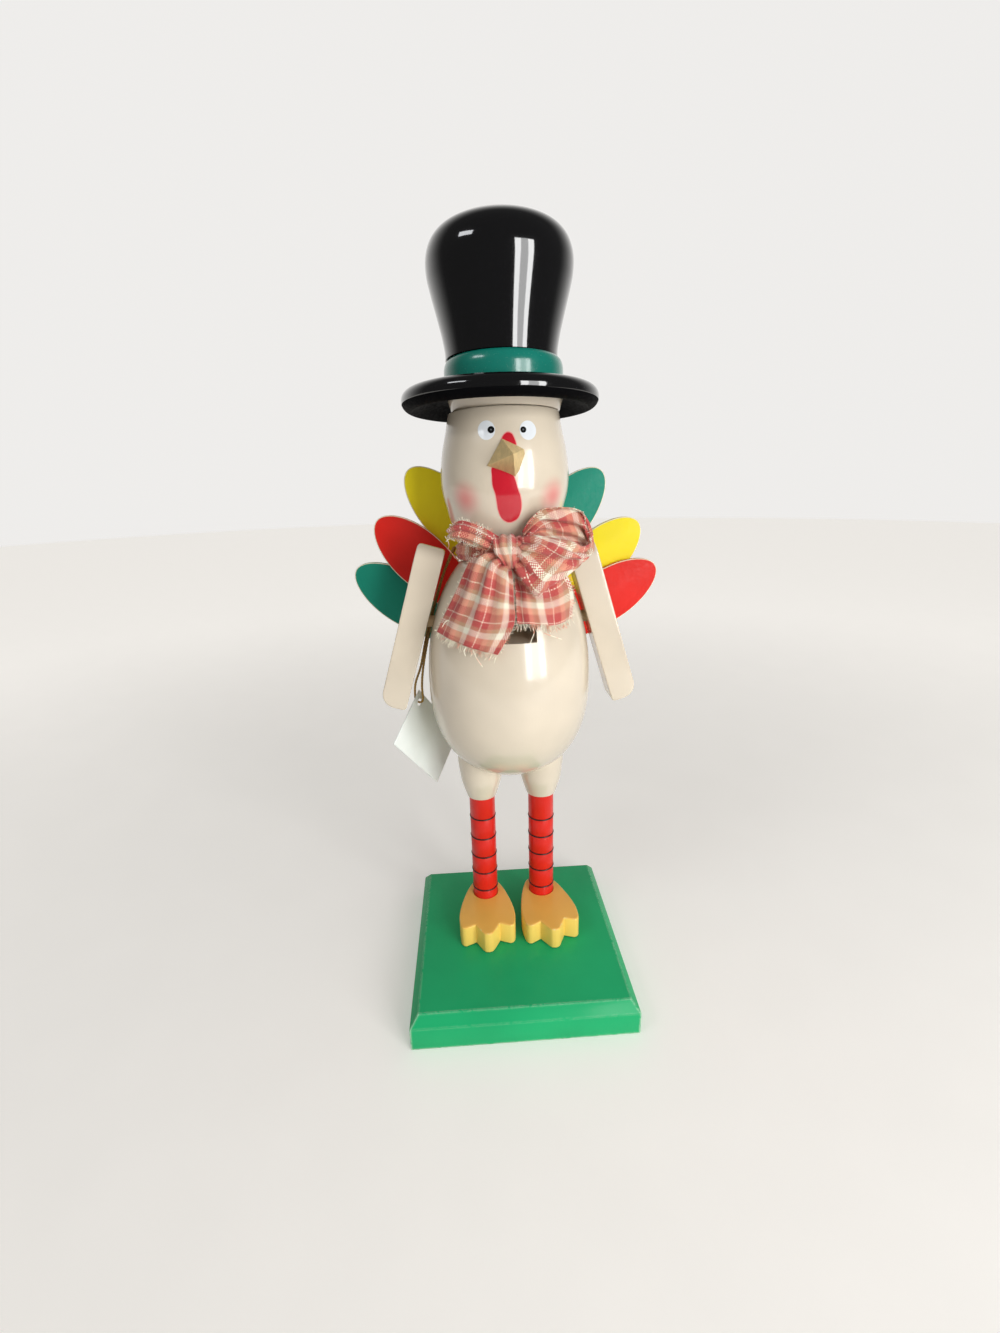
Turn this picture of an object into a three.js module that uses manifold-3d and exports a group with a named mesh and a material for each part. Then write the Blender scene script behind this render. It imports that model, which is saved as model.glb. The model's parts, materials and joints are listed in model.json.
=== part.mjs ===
// A wooden turkey nutcracker figure with a cloth bow and a hang tag. Millimetres, +Z up, facing -Y.
// The origin is the middle of the base board's underside. "Left" and "right" are as seen from the front.
import * as THREE from "three";
import { ConvexGeometry } from "three/addons/geometries/ConvexGeometry.js";
import { mergeVertices } from "three/addons/utils/BufferGeometryUtils.js";
import Module from "manifold-3d";

// Driving dimensions
const GAP = 0.3; // between pieces that touch
const AXIS_Y = 14; // the figure's upright axis stands behind the board's middle
const ROUND_SIDES = 36;

const BOARD_SIDE = 95;
const BOARD_THICKNESS = 15;
const BOARD_EDGE = 10.5; // straight edge below the bevel
const BOARD_BEVEL = 3.5;

const LEG_X = 14;
const LEG_RADIUS = 6;
const LEG_BOTTOM = 20.9;
const LEG_TOP = 88.7;
const FOOT_THICKNESS = 10.6;
const FOOT_BOTTOM = BOARD_THICKNESS + GAP;
const FOOT_TURN = { left: 0.6, right: 6.1 }; // degrees, toes outwards to the right

const SCREW_RADIUS = 1.9;
const SCREW_HEAD_RADIUS = 3.5;
const SCREW_HEAD_HEIGHT = 2.5;
const SCREW_POINT = 2; // height of its tip
const SCREW_TOP = 34;
const COUNTERBORE_DEPTH = 4;
const COUNTERBORE_ROOM = 0.5; // around the screw's head

const THIGH_BOTTOM = 81;
const THIGH_RADIUS = 10.4;
const HIP_DOWEL_RADIUS = 4;
const HIP_DOWEL_BOTTOM = 92;
const HIP_DOWEL_TOP = 108;

const BODY_RADIUS = 35.3;
const BODY_MIDDLE = 139; // height of the widest ring
const BODY_BELOW = { height: 44, power: 2.35 };
const BODY_ABOVE = { height: 60, power: 2.05 };
const BODY_TOP = 192;
const TAIL_SEAT_Y = 24; // flat on the back of the body, from the figure's axis
const TAIL_SEAT_BOTTOM = 142;

const SLOT_HALF_WIDTH = 8.9;
const LEVER_HALF_WIDTH = 8.6;
const PIVOT = { y: -1, z: 172 };
const PIN_RADIUS = 2;
const PIN_HALF_LENGTH = 28;
const RUNNING_CLEARANCE = 0.3;

const NECK_DOWEL_RADIUS = 5;
const NECK_DOWEL_BOTTOM = 187.3;
const NECK_DOWEL_TOP = 206;

const HAT_Z = 246.2; // foot of the head ring, where the hat's parts stand
const HAT_DOWEL_RADIUS = 4;
const HAT_DOWEL_REACH = { down: 11, up: 24 };
const HAT_SHIFT = { ring: 0.9, brim: -1.2, band: 0.4, crown: -0.25 }; // each glued a little off the middle
const BRIM_LIP = { radius: 3.7, centre: 34.2, height: 4.05 };

const ARM = { width: 11.4, depth: 13, length: 70.5, splay: 17, middleY: -2, topZ: 196.5 };
const ARM_TOP_X = { left: -30.4, right: 29.8 };
const ARM_EDGE = 0.9;
const ARM_ROUNDS = { corner: 1.5, outerCorner: 6 };
const SHOULDER = { y: -1, z: 165, radius: 2.5, inner: 22, outer: 39 };

const FEATHER_THICKNESS = 3.2;
const FEATHER_HALF_WIDTH = 12.5;
const FEATHER_ROOT_HALF_WIDTH = 6;
const FEATHER_LAYER_BACK = { front: 27.5, back: 31 }; // y of each layer's rear face, from the axis

const RIBBON = { halfWidth: 19.3, halfDepth: 20.3, forward: 1.2, thickness: 3, height: 6.6, z: 194.3 };
const CLOTH_THICKNESS = 0.8;
const CLOTH_STEPS = { across: 8, alongEachRow: 3 };

const CARD = { width: 28, height: 45, thickness: 0.5, holeInset: 4.2, holeRadius: 1.75 };
const CARD_CORNER = [-41.2, 24, 130.5]; // the corner that it hangs by
const CARD_YAW = 58; // degrees, from the front towards the left side
const CARD_TURN = 48; // degrees, how far its long side drops below level
const CORD_RADIUS = 0.55;
const CORD_TURN_RADIUS = 2.2; // of its turn through the card

const BEYOND = 60; // further out than any part of the figure's wooden pieces

// Tools for making and cutting solids
const wasm = await Module();
wasm.setup();
const radians = THREE.MathUtils.degToRad;

function solid(geometry) {
  const bare = geometry.clone();
  bare.deleteAttribute("normal");
  bare.deleteAttribute("uv");
  const merged = mergeVertices(bare);
  const vertProperties = new Float32Array(merged.attributes.position.array);
  const triVerts = new Uint32Array(merged.index.array);
  return new wasm.Manifold(new wasm.Mesh({ numProp: 3, vertProperties, triVerts }));
}

function geometryOf(body) {
  const mesh = body.getMesh();
  const geometry = new THREE.BufferGeometry();
  geometry.setAttribute("position", new THREE.BufferAttribute(mesh.vertProperties, 3));
  geometry.setIndex(new THREE.BufferAttribute(mesh.triVerts, 1));
  geometry.computeVertexNormals();
  return geometry;
}

// The first geometry with all the others taken away
function cut(geometry, cutters) {
  let body = solid(geometry);
  for (const cutter of cutters) {
    body = body.subtract(solid(cutter));
  }
  return geometryOf(body);
}

// A turned piece about Z, from [radius, height] pairs that go up its outside
function turned(profile, sides = ROUND_SIDES) {
  const points = profile.map(([radius, height]) => new THREE.Vector2(radius, height));
  return new THREE.LatheGeometry(points, sides).rotateX(Math.PI / 2);
}

function rod(radius, from, to, sides = 20) {
  const start = new THREE.Vector3(...from);
  const along = new THREE.Vector3(...to).sub(start);
  const upright = new THREE.Vector3(0, 1, 0);
  const turn = new THREE.Quaternion().setFromUnitVectors(upright, along.clone().normalize());
  const middle = start.addScaledVector(along, 0.5);
  return new THREE.CylinderGeometry(radius, radius, along.length(), sides)
    .applyQuaternion(turn)
    .translate(middle.x, middle.y, middle.z);
}

function block(x, y, z) {
  return new THREE.BoxGeometry(x[1] - x[0], y[1] - y[0], z[1] - z[0])
    .translate((x[0] + x[1]) / 2, (y[0] + y[1]) / 2, (z[0] + z[1]) / 2);
}

const FRONT_PLANE = new THREE.Matrix4().makeBasis(
  new THREE.Vector3(1, 0, 0), new THREE.Vector3(0, 0, 1), new THREE.Vector3(0, -1, 0));
const SIDE_PLANE = new THREE.Matrix4().makeBasis(
  new THREE.Vector3(0, 1, 0), new THREE.Vector3(0, 0, 1), new THREE.Vector3(1, 0, 0));

// An outline in x and z, as thick as depth, with its rear face at y
function cutFromFront(outline, depth, y, options = {}) {
  return new THREE.ExtrudeGeometry(outline, { depth, bevelEnabled: false, curveSegments: 3, ...options })
    .applyMatrix4(FRONT_PLANE)
    .translate(0, y, 0);
}

// An outline in y and z, from -halfWidth to +halfWidth along X
function cutFromSide(outline, halfWidth, curveSegments = 3) {
  return new THREE.ExtrudeGeometry(outline, { depth: 2 * halfWidth, bevelEnabled: false, curveSegments })
    .applyMatrix4(SIDE_PLANE)
    .translate(-halfWidth, 0, 0);
}

function polygon(corners) {
  return new THREE.Shape(corners.map(([x, y]) => new THREE.Vector2(x, y)));
}

function through(outline, points) {
  outline.splineThru(points.map(([x, y]) => new THREE.Vector2(x, y)));
}

// Finishes of the pieces
function paint(color, roughness = 0.35, metalness = 0) {
  return new THREE.MeshStandardMaterial({ color, roughness, metalness });
}
const CREAM = paint(0xe6d8c2, 0.25);
const GREEN = paint(0x23955c, 0.45);
const RED = paint(0xce221a, 0.35);
const ORANGE = paint(0xe2a348, 0.45);
const BLACK = paint(0x0a0a0c, 0.2);
const BAND_GREEN = paint(0x0a6e5e, 0.3);
const FEATHER_COLOURS = {
  green: paint(0x188e76, 0.45),
  red: paint(0xc82826, 0.45),
  yellow: paint(0xf0d62c, 0.45),
};
const WOOD = paint(0xc9a26b, 0.7);
const STEEL = paint(0x9a9ca0, 0.3, 1);
const PLAID = paint(0xb87468, 0.95);
const CARD_WHITE = paint(0xece8df, 0.8);
const GOLD = paint(0xc49a3c, 0.4);

const figure = new THREE.Group(); // everything that is measured from the figure's upright axis
figure.position.y = AXIS_Y;
const hat = new THREE.Group();
hat.position.z = HAT_Z;
figure.add(hat);
const turkey = new THREE.Group();
turkey.add(figure);

function place(group, name, geometry, material) {
  const mesh = new THREE.Mesh(geometry, material);
  mesh.name = name;
  group.add(mesh);
  return mesh;
}

const SIDES = [["left", -1], ["right", 1]];

// Base board, with a counterbored screw hole under each leg
function baseBoard() {
  const half = BOARD_SIDE / 2;
  const top = half - BOARD_BEVEL;
  const profile = [[0, 0], [half, 0], [half, BOARD_EDGE], [top, BOARD_THICKNESS], [0, BOARD_THICKNESS]]
    .map(([reach, z]) => [reach * Math.SQRT2, z]);
  const board = turned(profile, 4).rotateZ(Math.PI / 4);
  const holes = SIDES.flatMap(([, side]) => {
    const x = side * LEG_X;
    return [
      rod(SCREW_RADIUS + GAP, [x, AXIS_Y, -1], [x, AXIS_Y, BOARD_THICKNESS + 1], 12),
      rod(SCREW_HEAD_RADIUS + COUNTERBORE_ROOM, [x, AXIS_Y, -1], [x, AXIS_Y, COUNTERBORE_DEPTH], 16),
    ];
  });
  place(turkey, "base_board", cut(board, holes), GREEN);
}

// Foot: a thick cut-out with three short toes, drilled for the leg and its screw
function footOutline() {
  const side = [[0, 9], [5.4, 7.7], [8.2, 3.5], [12, -8.3], [13.2, -16.5], [12.9, -21.5]];
  const outerToe = [[12.9, -21.5], [12.4, -23.4], [11.4, -24.5], [10.2, -24.8]];
  const notch = [5.65, -22.9];
  const middleToe = [[2.6, -27.9], [1.6, -28.9], [0, -29.3], [-1.6, -28.9], [-2.6, -27.9]];
  const mirrored = (points) => points.map(([x, y]) => [-x, y]).reverse();
  const outline = new THREE.Shape();
  outline.moveTo(...side[0]);
  through(outline, side.slice(1));
  through(outline, outerToe.slice(1));
  outline.lineTo(...notch);
  outline.lineTo(...middleToe[0]);
  through(outline, middleToe.slice(1));
  outline.lineTo(-notch[0], notch[1]);
  outline.lineTo(...mirrored(outerToe)[0]);
  through(outline, mirrored(outerToe).slice(1));
  through(outline, mirrored(side).slice(1));
  return outline;
}

function foot(name, side) {
  const plate = new THREE.ExtrudeGeometry(footOutline(), {
    depth: FOOT_THICKNESS, bevelEnabled: false, curveSegments: 2,
  });
  const socketBottom = LEG_BOTTOM - GAP - FOOT_BOTTOM;
  const geometry = cut(plate, [
    rod(LEG_RADIUS + GAP, [0, 0, socketBottom], [0, 0, FOOT_THICKNESS + 1]),
    rod(SCREW_RADIUS + GAP, [0, 0, -1], [0, 0, FOOT_THICKNESS], 12),
  ]);
  const mesh = place(figure, `foot_${name}`, geometry, ORANGE);
  mesh.position.set(side * LEG_X, 0, FOOT_BOTTOM);
  mesh.rotation.z = radians(FOOT_TURN[name]);
}

function footScrew(name, side) {
  const headTop = COUNTERBORE_DEPTH - GAP;
  const profile = [[0, headTop - SCREW_HEAD_HEIGHT], [SCREW_HEAD_RADIUS, headTop - SCREW_HEAD_HEIGHT],
    [SCREW_HEAD_RADIUS, headTop], [SCREW_RADIUS, headTop], [SCREW_RADIUS, SCREW_TOP - SCREW_POINT],
    [0, SCREW_TOP]];
  place(figure, `foot_screw_${name}`, turned(profile, 12), STEEL).position.x = side * LEG_X;
}

function leg(name, side) {
  const pilot = SCREW_RADIUS + GAP;
  const pilotTop = SCREW_TOP + GAP;
  const profile = [[0, pilotTop], [pilot, pilotTop], [pilot, LEG_BOTTOM], [LEG_RADIUS, LEG_BOTTOM],
    [LEG_RADIUS, LEG_TOP], [0, LEG_TOP]];
  place(figure, `leg_${name}`, turned(profile, 24), RED).position.x = side * LEG_X;
}

// The body's egg, as [radius, height] pairs up to a height, grown on every side
function eggProfile(grow = 0, top = BODY_MIDDLE + BODY_ABOVE.height + grow) {
  const radius = BODY_RADIUS + grow;
  const half = (part, up, last, steps) => {
    const reach = part.height + grow;
    const points = [];
    for (let i = 0; i <= steps; i += 1) {
      const angle = (last * i) / steps;
      points.push([
        radius * Math.cos(angle) ** (2 / part.power),
        BODY_MIDDLE + up * reach * Math.sin(angle) ** (2 / part.power),
      ]);
    }
    return points;
  };
  const share = Math.min(1, (top - BODY_MIDDLE) / (BODY_ABOVE.height + grow));
  const lastAngle = Math.asin(share ** (BODY_ABOVE.power / 2));
  const below = half(BODY_BELOW, -1, Math.PI / 2, 10).reverse();
  const above = half(BODY_ABOVE, 1, lastAngle, 9);
  below[0][0] = 0;
  const last = above[above.length - 1];
  if (share === 1) {
    last[0] = 0;
  } else {
    above.push([0, last[1]]);
  }
  return [...below, ...above.slice(1)];
}

// Thigh: a rounded cup whose top is hollowed to sit on the body, with a socket for the leg
function thigh(name, side) {
  const top = 106;
  const bore = HIP_DOWEL_RADIUS + GAP;
  const socket = LEG_RADIUS + GAP;
  const profile = [[0, LEG_TOP + GAP], [socket, LEG_TOP + GAP], [socket, THIGH_BOTTOM],
    [7, THIGH_BOTTOM], [7.5, THIGH_BOTTOM + 2], [8.4, THIGH_BOTTOM + 5], [9.2, THIGH_BOTTOM + 8],
    [9.8, THIGH_BOTTOM + 12], [THIGH_RADIUS, THIGH_BOTTOM + 18], [THIGH_RADIUS, top],
    [bore, top], [bore, HIP_DOWEL_BOTTOM - GAP], [0, HIP_DOWEL_BOTTOM - GAP]];
  const x = side * LEG_X;
  const cup = turned(profile, 24).translate(x, 0, 0);
  place(figure, `thigh_${name}`, cut(cup, [turned(eggProfile(GAP))]), CREAM);
  const dowel = rod(HIP_DOWEL_RADIUS, [x, 0, HIP_DOWEL_BOTTOM], [x, 0, HIP_DOWEL_TOP], 20);
  place(figure, `hip_dowel_${name}`, dowel, WOOD);
}

// The slot that the lever works in: the mouth in front, and the way out down the back
const SLOT = [[-44, 161.7], [-1.6, 161.7], [12, 142], [24, 122], [28, 106], [56, 106], [56, 156],
  [10.5, 177.5], [4, 184.5], [-44, 184.5]];

function body() {
  const holes = [
    cutFromSide(polygon(SLOT), SLOT_HALF_WIDTH),
    block([-BEYOND, BEYOND], [TAIL_SEAT_Y, BEYOND], [TAIL_SEAT_BOTTOM, BODY_TOP + 1]),
    rod(PIN_RADIUS + GAP, [-BEYOND, PIVOT.y, PIVOT.z], [BEYOND, PIVOT.y, PIVOT.z]),
    rod(NECK_DOWEL_RADIUS + GAP, [0, 0, NECK_DOWEL_BOTTOM - GAP], [0, 0, BODY_TOP + 1]),
  ];
  for (const [, side] of SIDES) {
    const x = side * LEG_X;
    holes.push(rod(HIP_DOWEL_RADIUS + GAP, [x, 0, HIP_DOWEL_BOTTOM], [x, 0, HIP_DOWEL_TOP + GAP], 20));
    const inner = [side * (SHOULDER.inner - GAP), SHOULDER.y, SHOULDER.z];
    holes.push(rod(SHOULDER.radius + GAP, inner, [side * BEYOND, SHOULDER.y, SHOULDER.z]));
  }
  place(figure, "body", cut(turned(eggProfile(0, BODY_TOP)), holes), CREAM);
}

// Lever: the jaw in front of the pin, and the handle that runs down the back
function lever() {
  const outline = new THREE.Shape();
  outline.moveTo(-27.6, 175.5);
  outline.lineTo(-23.5, 184);
  outline.lineTo(-5, 184);
  through(outline, [[1.5, 181], [3.4, 175.2]]);
  through(outline, [[22.5, 149.1], [36.7, 126.4], [44.8, 105.3], [47.7, 84.7]]);
  outline.quadraticCurveTo(46.2, 79.4, 42.3, 79.2);
  outline.quadraticCurveTo(38.6, 79.6, 38.3, 83.3);
  through(outline, [[35.2, 102.7], [27.3, 121.6], [13.5, 142.9], [-5.4, 168.8]]);
  outline.lineTo(-9, 173.5);
  const pinAt = (x) => [x, PIVOT.y, PIVOT.z];
  const bore = rod(PIN_RADIUS + RUNNING_CLEARANCE, pinAt(-BEYOND), pinAt(BEYOND));
  place(figure, "lever", cut(cutFromSide(outline, LEVER_HALF_WIDTH), [bore]), CREAM);
  place(figure, "lever_pin", rod(PIN_RADIUS, pinAt(-PIN_HALF_LENGTH), pinAt(PIN_HALF_LENGTH)), STEEL);
}

// Head: a turned ball, flat where the hat stands
const HEAD_TOP = HAT_Z - GAP;
const HEAD_PROFILE = [[0, 192.3], [10.5, 192.3], [14, 194], [16, 196], [18, 198], [19.6, 200], [22.4, 206],
  [23.7, 211], [25.2, 217], [25.6, 222.6], [25.1, 228.4], [24.2, 233.8], [22.9, 239.2], [22.2, 242.8],
  [21.6, HEAD_TOP], [0, HEAD_TOP]];

function head() {
  const hatBore = rod(HAT_DOWEL_RADIUS + GAP, [0, 0, HAT_Z - HAT_DOWEL_REACH.down - GAP], [0, 0, HAT_Z], 20);
  const neckBore = rod(NECK_DOWEL_RADIUS + GAP, [0, 0, NECK_DOWEL_BOTTOM], [0, 0, NECK_DOWEL_TOP + GAP]);
  place(figure, "head", cut(turned(HEAD_PROFILE), [hatBore, neckBore]), CREAM);
  const dowel = rod(NECK_DOWEL_RADIUS, [0, 0, NECK_DOWEL_BOTTOM], [0, 0, NECK_DOWEL_TOP]);
  place(figure, "neck_dowel", dowel, WOOD);
}

// Beak: a small pyramid with a ridge on each side, its back hollowed to the head
function beak() {
  const apex = [0.6, -37, 228.5];
  const rim = [[-2.3, 234.6], [-7.9, 225.7], [2.2, 221.1], [3.8, 223.2], [5.8, 229.5], [5.5, 230.9],
    [2.6, 232.4]];
  const depths = [-24.5, -18]; // of its base: in front of the head, and inside it
  const corners = [apex, ...rim.flatMap(([x, z]) => depths.map((y) => [x, y, z]))];
  const pyramid = new ConvexGeometry(corners.map((corner) => new THREE.Vector3(...corner)));
  const grown = HEAD_PROFILE.map(([radius, z]) => [radius > 0 ? radius + GAP : 0, z]);
  place(figure, "beak", cut(pyramid, [turned(grown)]), WOOD);
}

// Hat: ring, brim, band and crown threaded on one dowel, each from its own foot up
const RING = [[0, 0], [21, 0], [22.3, 4.6], [0, 4.6]];
const BRIM_INNER = { underside: 4.9, top: 7.2, radius: 25 };
const BAND = [[0, 7.5], [21.6, 7.5], [22.4, 9.6], [22.7, 12.5], [22.6, 15], [22, 16.9], [21.2, 17.8],
  [0, 17.8]];
const CROWN = [[0, 18.1], [21.2, 18.1], [21.3, 20.8], [22.1, 25.7], [23.3, 30.8], [26, 41.5], [26.7, 44.9],
  [26.95, 49], [26.45, 52.2], [25.35, 54.9], [23.5, 57.2], [20.8, 59], [16.7, 60.6], [10, 62.1], [0, 62.9]];

function brimProfile() {
  const { radius, centre, height } = BRIM_LIP;
  const inner = BRIM_INNER;
  const profile = [[0, inner.underside], [inner.radius, inner.underside]];
  for (let angle = -90; angle <= 90; angle += 30) {
    profile.push([centre + radius * Math.cos(radians(angle)), height + radius * Math.sin(radians(angle))]);
  }
  profile.push([inner.radius, inner.top], [0, inner.top]);
  return profile;
}

function hatParts() {
  const { down, up } = HAT_DOWEL_REACH;
  const bore = rod(HAT_DOWEL_RADIUS + GAP, [0, 0, -GAP], [0, 0, up + GAP], 20);
  const piece = (name, profile, shift, material) => {
    place(hat, name, cut(turned(profile).translate(shift, 0, 0), [bore]), material);
  };
  piece("head_ring", RING, HAT_SHIFT.ring, CREAM);
  piece("hat_brim", brimProfile(), HAT_SHIFT.brim, BLACK);
  piece("hat_band", BAND, HAT_SHIFT.band, BAND_GREEN);
  piece("hat_crown", CROWN, HAT_SHIFT.crown, BLACK);
  place(hat, "hat_dowel", rod(HAT_DOWEL_RADIUS, [0, 0, -down], [0, 0, up], 20), WOOD);
}

// Arm: a flat bar with a large round on its outer lower corner and a half-round top end
function armFront(side) {
  const half = ARM.width / 2;
  const bottom = -ARM.length;
  const { corner, outerCorner } = ARM_ROUNDS;
  const outline = new THREE.Shape();
  const round = (x, z, endX, endZ) => outline.quadraticCurveTo(side * x, z, side * endX, endZ);
  outline.moveTo(-side * (half - corner), 0);
  outline.lineTo(side * (half - corner), 0);
  round(half, 0, half, -corner);
  outline.lineTo(side * half, bottom + outerCorner);
  round(half, bottom, half - outerCorner, bottom);
  outline.lineTo(-side * (half - corner), bottom);
  round(-half, bottom, -half, bottom + corner);
  outline.lineTo(-side * half, -corner);
  round(-half, 0, -half + corner, 0);
  return outline;
}

function armSide() {
  const half = ARM.depth / 2;
  const outline = new THREE.Shape();
  outline.absarc(0, -half, half, 0, Math.PI, false);
  outline.lineTo(-half, -ARM.length);
  outline.lineTo(half, -ARM.length);
  return outline;
}

function arm(name, side) {
  const bevel = {
    bevelEnabled: true,
    bevelThickness: ARM_EDGE,
    bevelSize: ARM_EDGE,
    bevelOffset: -ARM_EDGE,
    bevelSegments: 3,
  };
  const flat = ARM.depth - 2 * ARM_EDGE;
  const front = cutFromFront(armFront(side), flat, flat / 2, { curveSegments: 5, ...bevel });
  const profile = cutFromSide(armSide(), ARM.width, 12);
  const hang = new THREE.Matrix4().makeRotationY(radians(side * -ARM.splay));
  hang.setPosition(ARM_TOP_X[name], ARM.middleY, ARM.topZ);
  const bar = geometryOf(solid(front).intersect(solid(profile)));
  const dowelAt = (x) => [side * x, SHOULDER.y, SHOULDER.z];
  const hole = rod(SHOULDER.radius + GAP, dowelAt(0), dowelAt(SHOULDER.outer + GAP), 16);
  place(figure, `arm_${name}`, cut(bar.applyMatrix4(hang), [hole, turned(eggProfile(GAP))]), CREAM);
  const dowel = rod(SHOULDER.radius, dowelAt(SHOULDER.inner), dowelAt(SHOULDER.outer), 16);
  place(figure, `shoulder_dowel_${name}`, dowel, WOOD);
}

// Tail feathers: flat leaves glued in two layers, each drawn from its tip towards its root
function featherOutline(length) {
  const widest = 0.43 * length;
  const wide = FEATHER_HALF_WIDTH;
  const root = FEATHER_ROOT_HALF_WIDTH;
  const outline = new THREE.Shape();
  outline.moveTo(length, -root);
  outline.bezierCurveTo(0.8 * length, -0.85 * wide, 0.6 * length, -wide, widest, -wide);
  outline.bezierCurveTo(0.2 * length, -wide, 0, -0.5 * wide, 0, 0);
  outline.bezierCurveTo(0, 0.5 * wide, 0.2 * length, wide, widest, wide);
  outline.bezierCurveTo(0.6 * length, wide, 0.8 * length, 0.85 * wide, length, root);
  return outline;
}

// fall: degrees that the leaf drops from its tip towards the body
const FEATHERS = [
  { name: "left_green", tip: [-68, 184.6], fall: 34, length: 62, layer: "back" },
  { name: "left_red", tip: [-56, 206.6], fall: 44.5, length: 58, layer: "front" },
  { name: "left_yellow", tip: [-41.2, 227.7], fall: 48, length: 62, layer: "back" },
  { name: "right_green", tip: [45.2, 225.5], fall: 48.5, length: 62, layer: "front" },
  { name: "right_yellow", tip: [63.9, 202.7], fall: 41.4, length: 58, layer: "back" },
  { name: "right_red", tip: [72, 182.7], fall: 31.5, length: 62, layer: "front" },
];

function feather({ name, tip, fall, length, layer }) {
  const leaf = cutFromFront(featherOutline(length), FEATHER_THICKNESS, 0, { curveSegments: 7 });
  const colour = FEATHER_COLOURS[name.split("_")[1]];
  const mesh = place(figure, `tail_feather_${name}`, leaf, colour);
  mesh.position.set(tip[0], FEATHER_LAYER_BACK[layer], tip[1]);
  mesh.rotation.y = radians(tip[0] < 0 ? fall : 180 - fall);
}

// Cloth: a smooth sheet through rows of points, with an even thickness and a closed rim
function sheet(rows, across, along) {
  const vector = (point) => new THREE.Vector3(...point);
  const spread = rows.map((row) => new THREE.CatmullRomCurve3(row.map(vector)).getPoints(across));
  const columns = [];
  for (let j = 0; j <= across; j += 1) {
    columns.push(new THREE.CatmullRomCurve3(spread.map((row) => row[j])).getPoints(along));
  }
  const at = (i, j) => columns[Math.min(Math.max(j, 0), across)][Math.min(Math.max(i, 0), along)];
  const positions = [];
  for (const face of [1, -1]) {
    for (let i = 0; i <= along; i += 1) {
      for (let j = 0; j <= across; j += 1) {
        const down = at(i + 1, j).clone().sub(at(i - 1, j));
        const over = at(i, j + 1).clone().sub(at(i, j - 1));
        const normal = over.cross(down).normalize();
        positions.push(...at(i, j).clone().addScaledVector(normal, (face * CLOTH_THICKNESS) / 2));
      }
    }
  }
  const width = across + 1;
  const layer = width * (along + 1);
  const index = [];
  const quad = (a, b, c, d) => index.push(a, b, c, a, c, d);
  for (let i = 0; i < along; i += 1) {
    for (let j = 0; j < across; j += 1) {
      const a = i * width + j;
      quad(a, a + 1, a + 1 + width, a + width);
      quad(layer + a, layer + a + width, layer + a + width + 1, layer + a + 1);
    }
  }
  const rim = [];
  for (let j = 0; j < across; j += 1) {
    rim.push(j);
  }
  for (let i = 0; i < along; i += 1) {
    rim.push(i * width + across);
  }
  for (let j = across; j > 0; j -= 1) {
    rim.push(along * width + j);
  }
  for (let i = along; i > 0; i -= 1) {
    rim.push(i * width);
  }
  rim.forEach((a, k) => {
    const b = rim[(k + 1) % rim.length];
    quad(b, a, layer + a, layer + b);
  });
  const geometry = new THREE.BufferGeometry();
  geometry.setAttribute("position", new THREE.Float32BufferAttribute(positions, 3));
  geometry.setIndex(index);
  return geometry;
}

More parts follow.
